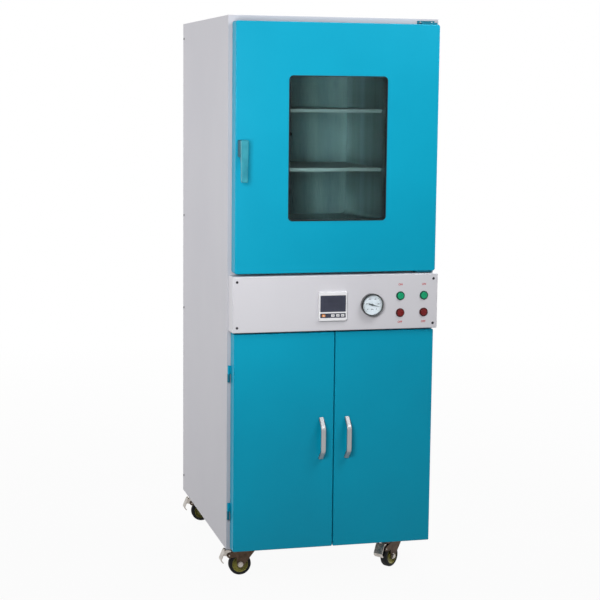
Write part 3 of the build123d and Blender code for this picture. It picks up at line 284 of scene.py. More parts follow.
extraFinishes = {
    # shelves: the same steel, rougher and less metallic, in paler tones: painted light on their
    # lit tops
    "litShelfSheet": finish("paleStainlessPaintedLight", {
        **brushed, "dark": "969B9B", "light": "C8CCCC", "stretch": (0.08, 1.0, 1.0),
        "rough": (0.40, 0.60), "metal": 0.75}),
    # the latch foot: the lever's lacquer, a little rougher, in darker tones that are painted shade
    "shadedLatchFoot": finish("lacqueredZincFootPaintedShade", {
        **powderCoat, "dark": "124E5D", "light": "1B5D6C", "driftMm": 30.0, "grainMm": 2.5,
        "rough": (0.40, 0.50)}),
    "oliveHub": finish("oliveNylonHub", {
        **moulded, "dark": "8A8436", "light": "A9A24E", "rough": (0.35, 0.50)}),
    "blackNylon": finish("blackNylonMoulding", {
        **moulded, "dark": "17181A", "light": "232427", "rough": (0.40, 0.55)}),
    "darkGreenRing": finish("darkGreenBezel", {
        **moulded, "dark": "064A38", "light": "0A5A45", "rough": (0.25, 0.38)}),
    "darkRedRing": finish("darkRedBezel", {
        **moulded, "dark": "3C0406", "light": "520609", "rough": (0.25, 0.38)}),
    "printedRed": finish("redScreenInk", {
        **moulded, "dark": "B5262C", "light": "C43138", "rough": (0.55, 0.70)}),
    "printedBlack": finish("blackScreenInk", {
        **moulded, "dark": "17191E", "light": "24262C", "rough": (0.55, 0.70)}),
    "blackenedScrew": finish("blackenedSteelScrew", {
        **brushed, "dark": "2A2A2D", "light": "45454A", "driftMm": 3.0, "rough": (0.35, 0.50)}),
    "zincScrew": finish("brightZincScrew", {
        **brushed, "dark": "8B8B8C", "light": "B4B5B6", "driftMm": 4.0, "rough": (0.26, 0.40)}),
    # pedals and axle nuts: fresh zinc, bright and slightly mottled
    "brightPlate": finish("brightZincPlate", {
        **brushed, "dark": "8F8780", "light": "C4BFB8", "driftMm": 12.0, "rough": (0.20, 0.34)}),
    "unlitSegment": finish("unlitSegmentFilm", {
        **moulded, "dark": "262936", "light": "2C2F3D", "rough": (0.25, 0.35), "gloss": 0.2}),
}

ownFinish = {name: "brightPlate" for name in nodes if name.startswith("caster_pedal")}
ownFinish.update({"latch_base": "shadedLatchFoot", "shelves": "litShelfSheet"})
for name, node in nodes.items():
    slotName = node.data.materials[0].name.split(".")[0]
    node.data.materials[0] = extraFinishes.get(ownFinish.get(name), finishes[slotName])
print("finishes made:", len(finishes) + len(extraFinishes))


# ---- making pieces
def addPiece(name, mesh, material, body, sharpDeg=35.0):
    mesh.name = name
    mesh.materials.clear()      # also sets every face back to the first slot
    mesh.materials.append(material)
    mesh.shade_smooth()
    mesh.set_sharp_from_angle(angle=math.radians(sharpDeg))
    piece = bpy.data.objects.new(name, mesh)
    scene.collection.objects.link(piece)
    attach(piece, body)
    return piece


def meshOf(bm):
    bmesh.ops.recalc_face_normals(bm, faces=bm.faces)
    mesh = bpy.data.meshes.new("mesh")
    bm.to_mesh(mesh)
    bm.free()
    return mesh


def partOf(nodeName, keep):
    # the faces of a node that keep() wants, their loose triangles joined at shared corners
    bm = bmesh.new()
    bm.from_mesh(nodes[nodeName].data)
    spare = [face for face in bm.faces if not keep(face)]
    bmesh.ops.delete(bm, geom=spare, context="FACES")
    bmesh.ops.remove_doubles(bm, verts=bm.verts, dist=weld)
    return bm


def solidsOf(nodeName):
    # the lowest and highest corner of each separate solid in a node
    bm = partOf(nodeName, lambda face: True)
    seen, boxes = set(), []
    for start in bm.faces:
        if start in seen:
            continue
        group, queue = [], [start]
        seen.add(start)
        while queue:
            face = queue.pop()
            group.append(face)
            for edge in face.edges:
                for other in edge.link_faces:
                    if other not in seen:
                        seen.add(other)
                        queue.append(other)
        points = [v.co for face in group for v in face.verts]
        boxes.append(tuple(Vector([pick(p[i] for p in points) for i in range(3)])
                           for pick in (min, max)))
    bm.free()
    return boxes


def facingFront(x, y, z, turn=0.0):
    # stands flat drawings up so that they face the front: their x and y run along +X and +Z
    upright = Euler((math.pi / 2, 0.0, 0.0)).to_matrix().to_4x4()
    return Matrix.Translation((x, y, z)) @ upright @ Matrix.Rotation(turn, 4, "Z")


lettering = {"steps": 3, "bolder": 0.03}     # a bolder stroke, as screen ink spreads


def words(text, height, thickness, place):
    # raised lettering as a plain mesh, thickness tall from its place outwards
    data = bpy.data.curves.new("words", "FONT")
    data.body = text
    data.size = height
    data.align_x = "CENTER"
    data.align_y = "CENTER"
    data.resolution_u = lettering["steps"]
    data.offset = height * lettering["bolder"]
    data.extrude = thickness / 2
    holder = bpy.data.objects.new("words", data)
    scene.collection.objects.link(holder)
    graph = bpy.context.evaluated_depsgraph_get()
    mesh = bpy.data.meshes.new_from_object(holder.evaluated_get(graph))
    bpy.data.objects.remove(holder)
    mesh.transform(place @ Matrix.Translation((0, 0, thickness / 2)))
    return mesh


def flatShape(points, thickness, place):
    bm = bmesh.new()
    face = bm.faces.new([bm.verts.new((x, y, 0.0)) for x, y in points])
    grown = bmesh.ops.extrude_face_region(bm, geom=[face])
    moved = [g for g in grown["geom"] if isinstance(g, bmesh.types.BMVert)]
    bmesh.ops.translate(bm, verts=moved, vec=(0, 0, thickness))
    bmesh.ops.transform(bm, matrix=place, verts=bm.verts)
    return meshOf(bm)


def turned(outline, segments, place):
    # a turned piece: the outline's (radius, height) points swept once round their own z
    bm = bmesh.new()
    verts = [bm.verts.new((r * mm, 0.0, h * mm)) for r, h in outline]
    edges = [bm.edges.new((a, b)) for a, b in zip(verts, verts[1:])]
    bmesh.ops.spin(bm, geom=verts + edges, cent=(0, 0, 0), axis=(0, 0, 1), angle=2 * math.pi,
                   steps=segments)
    bmesh.ops.remove_doubles(bm, verts=bm.verts, dist=weld)
    bmesh.ops.transform(bm, matrix=place, verts=bm.verts)
    return meshOf(bm)


def joined(meshes):
    bm = bmesh.new()
    for mesh in meshes:
        bm.from_mesh(mesh)
    bmesh.ops.remove_doubles(bm, verts=bm.verts, dist=weld)
    return meshOf(bm)


# ---- repeats, made with geometry nodes
def newTree(name, sizes):
    # sizes are the tree's named inputs, each with its default in metres
    tree = bpy.data.node_groups.new(name, "GeometryNodeTree")
    tree.interface.new_socket("Geometry", in_out="INPUT", socket_type="NodeSocketGeometry")
    for label, value in sizes.items():
        socket = tree.interface.new_socket(label, in_out="INPUT", socket_type="NodeSocketFloat")
        socket.default_value = value
    tree.interface.new_socket("Finish", in_out="INPUT", socket_type="NodeSocketMaterial")
    tree.interface.new_socket("Geometry", in_out="OUTPUT", socket_type="NodeSocketGeometry")
    source = addNode(tree, "NodeGroupInput")
    return tree, source, [source.outputs[label] for label in sizes]


def endTree(tree, source, unit):
    # puts the unit on every point, its z along "facing" and turned by "spin" about it
    facing = addNode(tree, "GeometryNodeInputNamedAttribute", {"data_type": "FLOAT_VECTOR"},
                     {"Name": "facing"})
    spin = addNode(tree, "GeometryNodeInputNamedAttribute", {"data_type": "FLOAT"},
                   {"Name": "spin"})
    angles = addNode(tree, "ShaderNodeCombineXYZ", {}, {2: spin.outputs["Attribute"]})
    flat = addNode(tree, "FunctionNodeEulerToRotation", {}, {0: angles.outputs[0]})
    outward = addNode(tree, "FunctionNodeAlignRotationToVector", {"axis": "Z"},
                      {"Vector": facing.outputs["Attribute"]})
    both = addNode(tree, "FunctionNodeRotateRotation", {"rotation_space": "LOCAL"},
                   {0: outward.outputs[0], 1: flat.outputs[0]})
    dots = addNode(tree, "GeometryNodeMeshToPoints", {}, {"Mesh": source.outputs["Geometry"]})
    copies = addNode(tree, "GeometryNodeInstanceOnPoints", {}, {
        "Points": dots.outputs[0], "Instance": unit, "Rotation": both.outputs[0]})
    real = addNode(tree, "GeometryNodeRealizeInstances", {}, {0: copies.outputs[0]})
    coated = addNode(tree, "GeometryNodeSetMaterial", {}, {
        "Geometry": real.outputs[0], "Material": source.outputs["Finish"]})
    addNode(tree, "NodeGroupOutput", {}, {0: coated.outputs[0]})
    return tree


def cutAway(tree, shape, cutters):
    for cutter in cutters:
        cut = addNode(tree, "GeometryNodeMeshBoolean", {"operation": "DIFFERENCE"}, {
            "Mesh 1": shape, "Mesh 2": cutter})
        shape = cut.outputs[0]
    return shape


def grow(name, spots, tree, sizes, material, body):
    # spots are (place, outward direction, spin in radians); the result is one plain mesh
    base = bpy.data.meshes.new(name)
    base.from_pydata([tuple(place) for place, _, _ in spots], [], [])
    base.attributes.new("facing", "FLOAT_VECTOR", "POINT")
    base.attributes.new("spin", "FLOAT", "POINT")
    for index, (_, facing, spin) in enumerate(spots):
        base.attributes["facing"].data[index].vector = facing
        base.attributes["spin"].data[index].value = spin
    holder = bpy.data.objects.new(name, base)
    scene.collection.objects.link(holder)
    modifier = holder.modifiers.new("grow", "NODES")
    modifier.node_group = tree
    for item in tree.interface.items_tree:
        if item.in_out == "INPUT" and item.name in sizes:
            modifier[item.identifier] = sizes[item.name]
        if item.in_out == "INPUT" and item.name == "Finish":
            modifier[item.identifier] = material
    graph = bpy.context.evaluated_depsgraph_get()
    mesh = bpy.data.meshes.new_from_object(holder.evaluated_get(graph))
    holder.modifiers.remove(modifier)
    bpy.data.objects.remove(holder)
    for label in ("facing", "spin"):
        if label in mesh.attributes:
            mesh.attributes.remove(mesh.attributes[label])
    bm = bmesh.new()
    bm.from_mesh(mesh)
    return addPiece(name, meshOf(bm), material, body)


# shares of the screw's own height (depth) and radius (the others)
crossCut = {"depth": 1.3, "span": 1.15, "block": 3.0, "under": -1.5}


def crossScrewTree():
    # a pan head: the top of a flattened ball with a cross driven into it
    tree, source, (radius, height, slot) = newTree("crossScrew", {
        "Radius": 0.005, "Height": 0.0024, "Slot": 0.0012})
    ball = addNode(tree, "GeometryNodeMeshUVSphere", {}, {
        "Segments": 28, "Rings": 16, "Radius": 1.0})
    girth = addNode(tree, "ShaderNodeCombineXYZ", {}, {0: radius, 1: radius, 2: height})
    dome = addNode(tree, "GeometryNodeTransform", {}, {
        "Geometry": ball.outputs[0], "Scale": girth.outputs[0]})
    deep, span, wide, sunk = (
        addNode(tree, "ShaderNodeMath", {"operation": "MULTIPLY"}, {0: size, 1: crossCut[share]})
        for size, share in ((height, "depth"), (radius, "span"), (radius, "block"),
                            (radius, "under")))
    crown = addNode(tree, "ShaderNodeCombineXYZ", {}, {2: height})
    cutters = []
    for x, y in ((span.outputs[0], slot), (slot, span.outputs[0])):
        size = addNode(tree, "ShaderNodeCombineXYZ", {}, {0: x, 1: y, 2: deep.outputs[0]})
        blade = addNode(tree, "GeometryNodeMeshCube", {}, {"Size": size.outputs[0]})
        cutters.append(addNode(tree, "GeometryNodeTransform", {}, {
            "Geometry": blade.outputs[0], "Translation": crown.outputs[0]}).outputs[0])
    size = addNode(tree, "ShaderNodeCombineXYZ", {}, {
        0: wide.outputs[0], 1: wide.outputs[0], 2: wide.outputs[0]})
    under = addNode(tree, "ShaderNodeCombineXYZ", {}, {2: sunk.outputs[0]})
    block = addNode(tree, "GeometryNodeMeshCube", {}, {"Size": size.outputs[0]})
    cutters.append(addNode(tree, "GeometryNodeTransform", {}, {
        "Geometry": block.outputs[0], "Translation": under.outputs[0]}).outputs[0])
    return endTree(tree, source, cutAway(tree, dome.outputs[0], cutters))


def hexBoltTree():
    # a hexagon head on a plain washer, standing on its seat
    tree, source, (radius, height, washer, sheet) = newTree("hexBolt", {
        "Radius": 0.0072, "Height": 0.005, "Washer": 0.0088, "Sheet": 0.0014})
    disc = addNode(tree, "GeometryNodeMeshCylinder", {}, {
        "Vertices": 28, "Radius": washer, "Depth": sheet})
    head = addNode(tree, "GeometryNodeMeshCylinder", {}, {
        "Vertices": 6, "Radius": radius, "Depth": height})
    halfSheet = addNode(tree, "ShaderNodeMath", {"operation": "MULTIPLY"}, {0: sheet, 1: 0.5})
    lift = addNode(tree, "ShaderNodeMath", {"operation": "MULTIPLY_ADD"}, {
        0: height, 1: 0.5, 2: sheet})
    pair = addNode(tree, "GeometryNodeJoinGeometry")
    for shape, rise in ((disc, halfSheet), (head, lift)):
        place = addNode(tree, "ShaderNodeCombineXYZ", {}, {2: rise.outputs[0]})
        stood = addNode(tree, "GeometryNodeTransform", {}, {
            "Geometry": shape.outputs[0], "Translation": place.outputs[0]})
        tree.links.new(stood.outputs[0], pair.inputs[0])
    return endTree(tree, source, pair.outputs[0])


def dialMarkTree():
    # a thin flat bar on each point of the scale
    tree, source, (length, width, height) = newTree("dialMark", {
        "Length": 0.004, "Width": 0.0006, "Height": 0.0001})
    size = addNode(tree, "ShaderNodeCombineXYZ", {}, {0: length, 1: width, 2: height})
    bar = addNode(tree, "GeometryNodeMeshCube", {}, {"Size": size.outputs[0]})
    half = addNode(tree, "ShaderNodeMath", {"operation": "MULTIPLY"}, {0: height, 1: 0.5})
    rise = addNode(tree, "ShaderNodeCombineXYZ", {}, {2: half.outputs[0]})
    stood = addNode(tree, "GeometryNodeTransform", {}, {
        "Geometry": bar.outputs[0], "Translation": rise.outputs[0]})
    return endTree(tree, source, stood.outputs[0])


def louvreTree():
    # a pressed hood: a quarter of a thin flattened ball, closed along its top and open below
    tree, source, (length, drop, proud, sheet) = newTree("louvre", {
        "Length": 0.186, "Drop": 0.013, "Proud": 0.007, "Sheet": 0.0012})
    ball = addNode(tree, "GeometryNodeMeshUVSphere", {}, {
        "Segments": 32, "Rings": 16, "Radius": 1.0})
    half = addNode(tree, "ShaderNodeMath", {"operation": "MULTIPLY"}, {0: length, 1: 0.5})
    outside = addNode(tree, "ShaderNodeCombineXYZ", {}, {0: half.outputs[0], 1: drop, 2: proud})
    wall = addNode(tree, "ShaderNodeCombineXYZ", {}, {0: sheet, 1: sheet, 2: sheet})
    inside = addNode(tree, "ShaderNodeVectorMath", {"operation": "SUBTRACT"}, {
        0: outside.outputs[0], 1: wall.outputs[0]})
    outer = addNode(tree, "GeometryNodeTransform", {}, {
        "Geometry": ball.outputs[0], "Scale": outside.outputs[0]})
    inner = addNode(tree, "GeometryNodeTransform", {}, {
        "Geometry": ball.outputs[0], "Scale": inside.outputs[0]})
    size = addNode(tree, "ShaderNodeCombineXYZ", {}, {0: length, 1: length, 2: length})
    wide = addNode(tree, "ShaderNodeVectorMath", {"operation": "SCALE"}, {
        0: size.outputs[0], "Scale": 2.0})
    block = addNode(tree, "GeometryNodeMeshCube", {}, {"Size": wide.outputs[0]})
    cutters = [inner.outputs[0]]
    for x, y, z in ((0, 0, -1), (0, 1, 0)):
        aside = addNode(tree, "ShaderNodeVectorMath", {"operation": "MULTIPLY"}, {
            0: size.outputs[0], 1: (x, y, z)})
        cutters.append(addNode(tree, "GeometryNodeTransform", {}, {
            "Geometry": block.outputs[0], "Translation": aside.outputs[0]}).outputs[0])
    return endTree(tree, source, cutAway(tree, outer.outputs[0], cutters))


crossScrew, hexBolt = crossScrewTree(), hexBoltTree()
dialMark, louvre = dialMarkTree(), louvreTree()
print("geometry node trees built")


# ---- screws that show
cabinetScrews = {"head": {"Radius": 4.4 * mm, "Height": 2.3 * mm, "Slot": 1.3 * mm},
                 "firstSpin": 0.7, "nextSpin": 0.9}


def placeCabinetScrews():
    # the panel's four screws and those in the cabinet's sides, each driven home at its own turn
    spots = []
    for index, (low, high) in enumerate(solidsOf("cabinet_screws")):
        centre = (low + high) / 2
        spin = cabinetScrews["firstSpin"] + cabinetScrews["nextSpin"] * index
        if high.y - low.y < high.x - low.x:
            spots.append(((centre.x, high.y, centre.z), (0, -1, 0), spin))
        else:
            side = 1 if centre.x > 0 else -1
            inner = low.x if side > 0 else high.x
            spots.append(((inner, centre.y, centre.z), (side, 0, 0), spin))
    heads = grow("panel_and_side_screws", spots, crossScrew, cabinetScrews["head"],
                 extraFinishes["blackenedScrew"], "cabinet")
    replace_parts(heads, "cabinet_screws")


plateScrews = {"head": {"Radius": 4.0 * mm, "Height": 0.5 * mm, "Slot": 1.1 * mm},
               "inset": 13.0 * mm, "across": 4, "down": 6, "firstSpin": 0.4, "nextSpin": 0.8}


def placePlateScrews():
    # raised countersunk screws round the door's inner plate, half a millimetre proud
    low, high = max(solidsOf("door_inner_plate"), key=lambda box: (box[1] - box[0]).x)
    inset = plateScrews["inset"]
    x0, x1 = low.x + inset, high.x - inset
    z0, z1 = low.z + inset, high.z - inset
    places = []
    for i in range(plateScrews["across"]):
        x = x0 + (x1 - x0) * (i + 0.5) / plateScrews["across"]
        places += [(x, z0), (x, z1)]
    for i in range(plateScrews["down"]):
        z = z0 + (z1 - z0) * i / (plateScrews["down"] - 1)
        places += [(x0, z), (x1, z)]
    spots = [((x, high.y, z), (0, 1, 0), plateScrews["firstSpin"] + plateScrews["nextSpin"] * i)
             for i, (x, z) in enumerate(places)]
    grow("inner_plate_screws", spots, crossScrew, plateScrews["head"],
         extraFinishes["zincScrew"], "upper_door")


bracketScrews = {"head": {"Radius": 3.2 * mm, "Height": 1.6 * mm, "Slot": 0.9 * mm},
                 "across": (287.0 * mm, 326.0 * mm), "rise": 1834.0 * mm,
                 "face": -363.85 * mm, "spin": 0.5}


def placeBracketScrews():
    # two screws hold the leg of the upper pivot bracket to the frame
    spots = [((x, bracketScrews["face"], bracketScrews["rise"]), (0, -1, 0),
              bracketScrews["spin"]) for x in bracketScrews["across"]]
    grow("bracket_screws", spots, crossScrew, bracketScrews["head"],
         extraFinishes["zincScrew"], "cabinet")


placeCabinetScrews()
placePlateScrews()
placeBracketScrews()
print("screws placed")


# ---- casters: bolts, axle nuts, tyre and hub
casters = {
    "headings": {"front_left": 180.0, "front_right": 217.0, "rear_left": 180.0,
                 "rear_right": 0.0},          # degrees from +X, where each fork trails
    "boltAlong": 37.5 * mm, "boltAcross": 22.5 * mm, "plate": 3.0 * mm, "boltSpin": 0.3,
    "hubRadius": 27.05 * mm, "forkHalf": 16.5 * mm, "nutSpin": 0.35, "sharpDeg": 40.0,
    "nut": {"Radius": 7.4 * mm, "Height": 4.6 * mm, "Washer": 9.4 * mm, "Sheet": 1.1 * mm},
}


def wayOf(corner):
    # unit vectors along a caster's heading and along its axle
    angle = math.radians(casters["headings"][corner])
    along = Vector((math.cos(angle), math.sin(angle), 0.0))
    return along, Vector((-along.y, along.x, 0.0))


def boltCasterPlates():
    spots = []
    for low, high in solidsOf("caster_plates"):
        centre = (low + high) / 2
        corner = ("front" if centre.y < 0 else "rear") + ("_left" if centre.x < 0 else "_right")
        along, across = wayOf(corner)
        for i in (-1, 1):
            for j in (-1, 1):
                place = (centre + along * (i * casters["boltAlong"])
                         + across * (j * casters["boltAcross"]))
                place.z = high.z - casters["plate"]
                spots.append((place, (0, 0, -1), casters["boltSpin"] * len(spots)))
    grow("caster_bolts", spots, hexBolt, {}, extraFinishes["zincScrew"], "cabinet")


def dressWheel(corner):
    nodeName = f"caster_wheel_{corner}"
    low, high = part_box(nodeName)
    centre = (low + high) / 2
    axle = wayOf(corner)[1]

    def inHub(face):
        offsets = [v.co - centre for v in face.verts]
        return all((o - axle * o.dot(axle)).length < casters["hubRadius"] for o in offsets)

    tyre = partOf(nodeName, lambda face: not inHub(face))
    hub = partOf(nodeName, inHub)
    piece = addPiece(f"tyre_{corner}", meshOf(tyre), finishes["black_rubber"],
                     f"wheel_{corner}", casters["sharpDeg"])
    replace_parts(piece, nodeName)
    addPiece(f"hub_{corner}", meshOf(hub), extraFinishes["oliveHub"], f"wheel_{corner}",
             casters["sharpDeg"])
    spots = [(centre + axle * (s * casters["forkHalf"]), tuple(axle * s), casters["nutSpin"])
             for s in (-1, 1)]
    grow(f"axle_nuts_{corner}", spots, hexBolt, casters["nut"], extraFinishes["brightPlate"],
         f"caster_{corner}")


boltCasterPlates()
for corner in casters["headings"]:
    dressWheel(corner)
print("casters dressed")


# ---- control panel: words, button rings, keys, display and dial
panel = {"inkHeight": 9.0 * mm, "ink": 0.12 * mm, "onRise": 37.0 * mm, "offDrop": 31.0 * mm}


def printPanelWords():
    low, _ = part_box("control_panel")
    printed = []
    for index in (1, 2):
        for kind, lift in (("on", panel["onRise"]), ("off", -panel["offDrop"])):
            a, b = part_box(f"button_{kind}_{index}")
            centre = (a + b) / 2
            place = facingFront(centre.x, low.y, centre.z + lift)
            printed.append(words(kind.upper(), panel["inkHeight"], panel["ink"], place))
    addPiece("button_words", joined(printed), extraFinishes["printedRed"], "cabinet")


def dressButtonRings():
    # the rings are moulded in each lens's own colour, only deeper
    low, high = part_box("button_bezels")
    middle = (low.z + high.z) / 2
    for name, upper, ink, slotName in (
            ("green_rings", True, extraFinishes["darkGreenRing"], "green_button"),
            ("red_rings", False, extraFinishes["darkRedRing"], "red_button")):
        bm = partOf("button_bezels",
                    lambda face: (face.calc_center_median().z > middle) == upper)
        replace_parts(addPiece(name, meshOf(bm), ink, "cabinet"), "button_bezels")


keyMarks = {"ink": 0.08 * mm, "size": 1.9 * mm,
            "arrow": ((-1.0, -0.8), (1.0, -0.8), (0.0, 1.0)),
            "block": ((-1.0, -0.9), (1.0, -0.9), (1.0, 0.9), (-1.0, 0.9))}


def markKeys():
    # a white block on the set key and a black arrow on each of the others
    marks = {"set": ("block", 0.0), "shift": ("arrow", math.pi / 2), "down": ("arrow", math.pi),
             "up": ("arrow", 0.0)}
    for name, (shape, turn) in marks.items():
        low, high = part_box(f"key_{name}")
        centre = (low + high) / 2
        sized = [(x * keyMarks["size"], y * keyMarks["size"]) for x, y in keyMarks[shape]]
        mesh = flatShape(sized, keyMarks["ink"], facingFront(centre.x, low.y, centre.z, turn))
        ink = finishes["key_white"] if name == "set" else extraFinishes["printedBlack"]
        addPiece(f"key_mark_{name}", mesh, ink, f"key_{name}")


display = {"digitHeight": 15.0 * mm, "digitWidth": 8.0 * mm, "stroke": 1.6 * mm,
           "gap": 0.8,                   # what each end of a segment gives up, in strokes
           "pitch": 13.0 * mm, "slant": 0.10, "film": 0.05 * mm,
           "rows": (12.0 * mm, -11.5 * mm), "stripDepth": 1.0 * mm, "level": 0.01 * mm}


def drawSegments():
    # two rows of unlit digits that only just show in the dark window
    low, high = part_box("controller_window")
    centre = (low + high) / 2
    w, h, s = display["digitWidth"], display["digitHeight"], display["stroke"]
    gap = s * display["gap"]
    lying = [(0, h / 2), (0, 0), (0, -h / 2)]
    standing = [(-w / 2, h / 4), (w / 2, h / 4), (-w / 2, -h / 4), (w / 2, -h / 4)]
    meshes = []
    for row in display["rows"]:
        for index in range(-2, 3):
            place = facingFront(centre.x + index * display["pitch"], low.y, centre.z + row)
            for x, z in lying + standing:
                flat = (x, z) in lying
                halfX, halfZ = (w / 2 - gap, s / 2) if flat else (s / 2, h / 4 - gap)
                corners = [(x - halfX, z - halfZ), (x + halfX, z - halfZ), (x + halfX, z + halfZ),
                           (x - halfX, z + halfZ)]
                points = [(a + b * display["slant"], b) for a, b in corners]
                meshes.append(flatShape(points, display["film"], place))
    addPiece("display_segments", joined(meshes), extraFinishes["unlitSegment"], "cabinet")


def paintKeyStripShade():
    # a dark film on the floor of the recess round the keys: painted shade in the recess
    low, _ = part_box("controller_case")
    level = low.y + display["stripDepth"]
    film = partOf("controller_case", lambda face: all(
        abs(v.co.y - level) < display["level"] for v in face.verts))
    grown = bmesh.ops.extrude_face_region(film, geom=film.faces[:])
    raised = [g for g in grown["geom"] if isinstance(g, bmesh.types.BMVert)]
    bmesh.ops.translate(film, verts=raised, vec=(0, -display["film"], 0))
    addPiece("key_strip_film", meshOf(film), finishes["display"], "cabinet")


dial = {"radius": 31.0 * mm, "start": 225.0, "end": -45.0, "major": 5, "minor": 10,
        "majorMark": (4.8 * mm, 0.8 * mm), "minorMark": (2.6 * mm, 0.4 * mm),
        "ink": 0.12 * mm, "sheet": 1.0 * mm,
        "numbers": ("-0.1", "-.08", "-.06", "-.04", "-.02", "0"),
        "numberRadius": 20.5 * mm, "numberHeight": 5.0 * mm, "unit": "MPa",
        "unitDrop": 15.0 * mm}


def drawDial():
    # a vacuum scale from 0 down to -0.1 MPa, printed round the dial
    low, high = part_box("gauge_dial")
    face = high.y - dial["sheet"]
    centre = (low + high) / 2
    majors, minors = [], []
    steps = dial["major"] * dial["minor"]
    for index in range(steps + 1):
        angle = math.radians(dial["start"] + (dial["end"] - dial["start"]) * index / steps)
        long = index % dial["minor"] == 0
        reach = dial["radius"] - dial["majorMark" if long else "minorMark"][0] / 2
        spot = (centre.x + reach * math.cos(angle), face, centre.z + reach * math.sin(angle))
        (majors if long else minors).append((spot, (0, -1, 0), angle))
    ink = extraFinishes["printedBlack"]
    for name, spots, (length, width) in (("dial_majors", majors, dial["majorMark"]),
                                         ("dial_minors", minors, dial["minorMark"])):
        grow(name, spots, dialMark, {"Length": length, "Width": width, "Height": dial["ink"]},
             ink, "cabinet")
    meshes = []
    for index, number in enumerate(dial["numbers"]):
        angle = math.radians(dial["start"] + (dial["end"] - dial["start"]) * index / dial["major"])
        x = centre.x + dial["numberRadius"] * math.cos(angle)
        z = centre.z + dial["numberRadius"] * math.sin(angle)
        meshes.append(words(number, dial["numberHeight"], dial["ink"], facingFront(x, face, z)))
    below = facingFront(centre.x, face, centre.z - dial["unitDrop"])
    meshes.append(words(dial["unit"], dial["numberHeight"], dial["ink"], below))
    addPiece("dial_numbers", joined(meshes), ink, "cabinet")


printPanelWords()
dressButtonRings()
markKeys()
drawSegments()
paintKeyStripShade()
drawDial()
print("control panel dressed")


# ---- chamber: the temperature probe's black grommet on the back wall; its closed black centre is painted shade of the port's hole
probe = {"x": 4.0 * mm, "rise": 28.0 * mm, "sheet": 4.0 * mm, "steps": 24,
         "outline": ((0.0, 0.4), (2.6, 0.4), (3.0, 2.8), (4.6, 2.8), (5.6, 1.8), (6.0, 0.0),
                     (0.0, 0.0))}


def fitProbe():
    low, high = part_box("chamber_shell")
    middle = (low.z + high.z) / 2
    place = facingFront(probe["x"], high.y - probe["sheet"], middle + probe["rise"])
    addPiece("probe_grommet_painted_hole_shade", turned(probe["outline"], probe["steps"], place),
             extraFinishes["blackNylon"], "cabinet")


fitProbe()
print("chamber dressed")


# ---- back: louvre hoods, the cable gland and its nut
back = {"side": 150.0 * mm, "first": 741.0 * mm, "pitch": 24.0 * mm, "rows": 8,
        "slotHalf": 4.5 * mm,
        "hood": {"Length": 186.0 * mm, "Drop": 14.0 * mm, "Proud": 7.0 * mm, "Sheet": 1.2 * mm},
        "glandX": 240.0 * mm, "glandZ": 226.0 * mm, "glandRadius": 14.1 * mm,
        "glandReach": 24.0 * mm, "nutSpin": 0.2,
        "nut": {"Radius": 17.5 * mm, "Height": 6.0 * mm, "Washer": 19.5 * mm,
                "Sheet": 1.5 * mm},
        "sharpDeg": 5.0}          # flat sheets: no shading runs across their long triangles


def dressBack():
    _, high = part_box("back_panels")
    sheetFace = high.y - back["glandReach"]

    def inGland(face):
        spans = [math.hypot(v.co.x - back["glandX"], v.co.z - back["glandZ"]) for v in face.verts]
        return max(spans) < back["glandRadius"] and max(v.co.y for v in face.verts) > sheetFace

    sheets = partOf("back_panels", lambda face: not inGland(face))
    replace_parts(addPiece("back_sheets", meshOf(sheets), finishes["cabinet_grey"], "cabinet",
                         back["sharpDeg"]), "back_panels")
    gland = partOf("back_panels", inGland)
    addPiece("cable_gland", meshOf(gland), extraFinishes["blackNylon"], "cabinet")
    seat = (back["glandX"], sheetFace, back["glandZ"])
    grow("gland_nut", [(seat, (0, 1, 0), back["nutSpin"])], hexBolt, back["nut"],
         extraFinishes["blackNylon"], "cabinet")
    spots = []
    for side in (-1, 1):
        for row in range(back["rows"]):
            z = back["first"] - row * back["pitch"] - back["slotHalf"]
            spots.append(((side * back["side"], sheetFace, z), (0, 1, 0), 0.0))
    grow("louvre_hoods", spots, louvre, back["hood"], finishes["cabinet_grey"], "cabinet")


dressBack()
print("back dressed")


# ---- floor and surround
ground = {"radius": 14.0, "drop": 0.2 * mm, "dark": "8A8A8A", "light": "929292",
          "mottle": 3.0,                # cells per metre
          "rough": 0.85,
          "near": 1.2, "far": 4.5,      # the floor goes from nearly white to white between these
          "white": 0.95}
eye = {"straight": 0.5, "mirrors": 2.5}       # turns of a ray that still count as looking at


def seenDirectly(tree):
    # 1 where the eye, a mirror or a pane looks straight at a surface, 0 for the light it gives off
    # and for rays that come out of the chamber through its panes
    path = addNode(tree, "ShaderNodeLightPath")
    either = addNode(tree, "ShaderNodeMath", {"operation": "MAXIMUM"}, {
        0: path.outputs["Is Camera Ray"], 1: path.outputs["Is Glossy Ray"]})
    seen = addNode(tree, "ShaderNodeMath", {"operation": "MAXIMUM"}, {
        0: either.outputs[0], 1: path.outputs["Is Transmission Ray"]})
    winding = addNode(tree, "ShaderNodeMath", {"operation": "MULTIPLY_ADD"}, {
        0: path.outputs["Glossy Depth"], 1: path.outputs["Transmission Depth"],
        2: path.outputs["Diffuse Depth"]})
    straight = addNode(tree, "ShaderNodeMath", {"operation": "LESS_THAN"}, {
        0: winding.outputs[0], 1: eye["straight"]})
    few = addNode(tree, "ShaderNodeMath", {"operation": "LESS_THAN"}, {
        0: path.outputs["Glossy Depth"], 1: eye["mirrors"]})
    both = addNode(tree, "ShaderNodeMath", {"operation": "MULTIPLY"}, {
        0: straight.outputs[0], 1: few.outputs[0]})
    return addNode(tree, "ShaderNodeMath", {"operation": "MULTIPLY"}, {
        0: seen.outputs[0], 1: both.outputs[0]}).outputs[0]


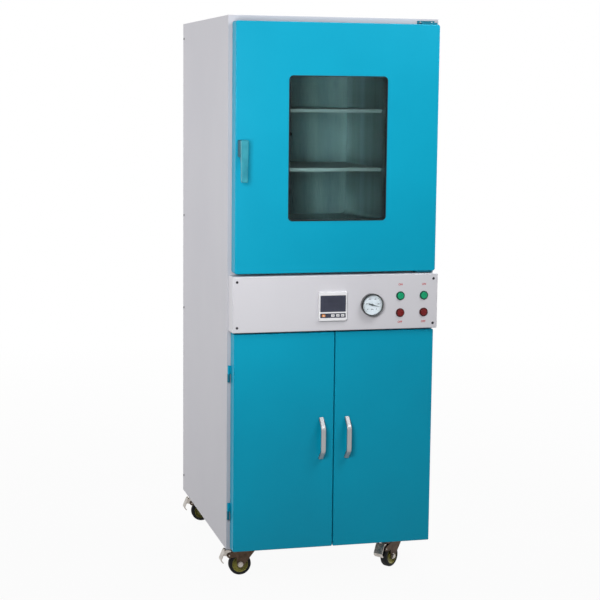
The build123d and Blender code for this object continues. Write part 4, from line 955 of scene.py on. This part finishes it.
def layFloor():
    material, tree, shader, output = newMaterial("paleFloor")
    place = addNode(tree, "ShaderNodeTexCoord").outputs["Object"]
    mottle = addNode(tree, "ShaderNodeTexNoise", {}, {
        "Vector": place, "Scale": ground["mottle"], "Detail": 3.0})
    colour = addNode(tree, "ShaderNodeMix", {"data_type": "RGBA"}, {
        0: mottle.outputs["Fac"], 6: linear(ground["dark"]), 7: linear(ground["light"])})
    tree.links.new(colour.outputs[2], shader.inputs["Base Color"])
    shader.inputs["Roughness"].default_value = ground["rough"]
    glow = addNode(tree, "ShaderNodeEmission", {}, {"Color": (1, 1, 1, 1), "Strength": 1.0})
    reach = addNode(tree, "ShaderNodeVectorMath", {"operation": "LENGTH"}, {0: place})
    away = addNode(tree, "ShaderNodeMapRange", {}, {
        "Value": reach.outputs["Value"], "From Min": ground["near"], "From Max": ground["far"],
        "To Min": ground["white"], "To Max": 1.0})
    share = addNode(tree, "ShaderNodeMath", {"operation": "MULTIPLY"}, {
        0: seenDirectly(tree), 1: away.outputs[0]})
    mix = addNode(tree, "ShaderNodeMixShader", {}, {
        0: share.outputs[0], 1: shader.outputs[0], 2: glow.outputs[0]})
    tree.links.new(mix.outputs[0], output.inputs["Surface"])
    bm = bmesh.new()
    bmesh.ops.create_circle(bm, cap_ends=True, segments=96, radius=ground["radius"])
    mesh = meshOf(bm)
    mesh.materials.append(material)
    floor = bpy.data.objects.new("floor", mesh)
    floor.location.z = -ground["drop"]
    scene.collection.objects.link(floor)


surround = {"light": 0.10}


def setSurround():
    world = bpy.data.worlds.new("surround")
    world.use_nodes = True
    scene.world = world
    tree = world.node_tree
    tree.nodes.clear()
    strength = addNode(tree, "ShaderNodeMapRange", {}, {
        "Value": seenDirectly(tree), "To Min": surround["light"], "To Max": 1.0})
    sky = addNode(tree, "ShaderNodeBackground", {}, {
        "Color": (1, 1, 1, 1), "Strength": strength.outputs[0]})
    addNode(tree, "ShaderNodeOutputWorld", {}, {"Surface": sky.outputs[0]})


setCamera()
setLamps()
layFloor()
setSurround()
print("camera, lamps and floor set")
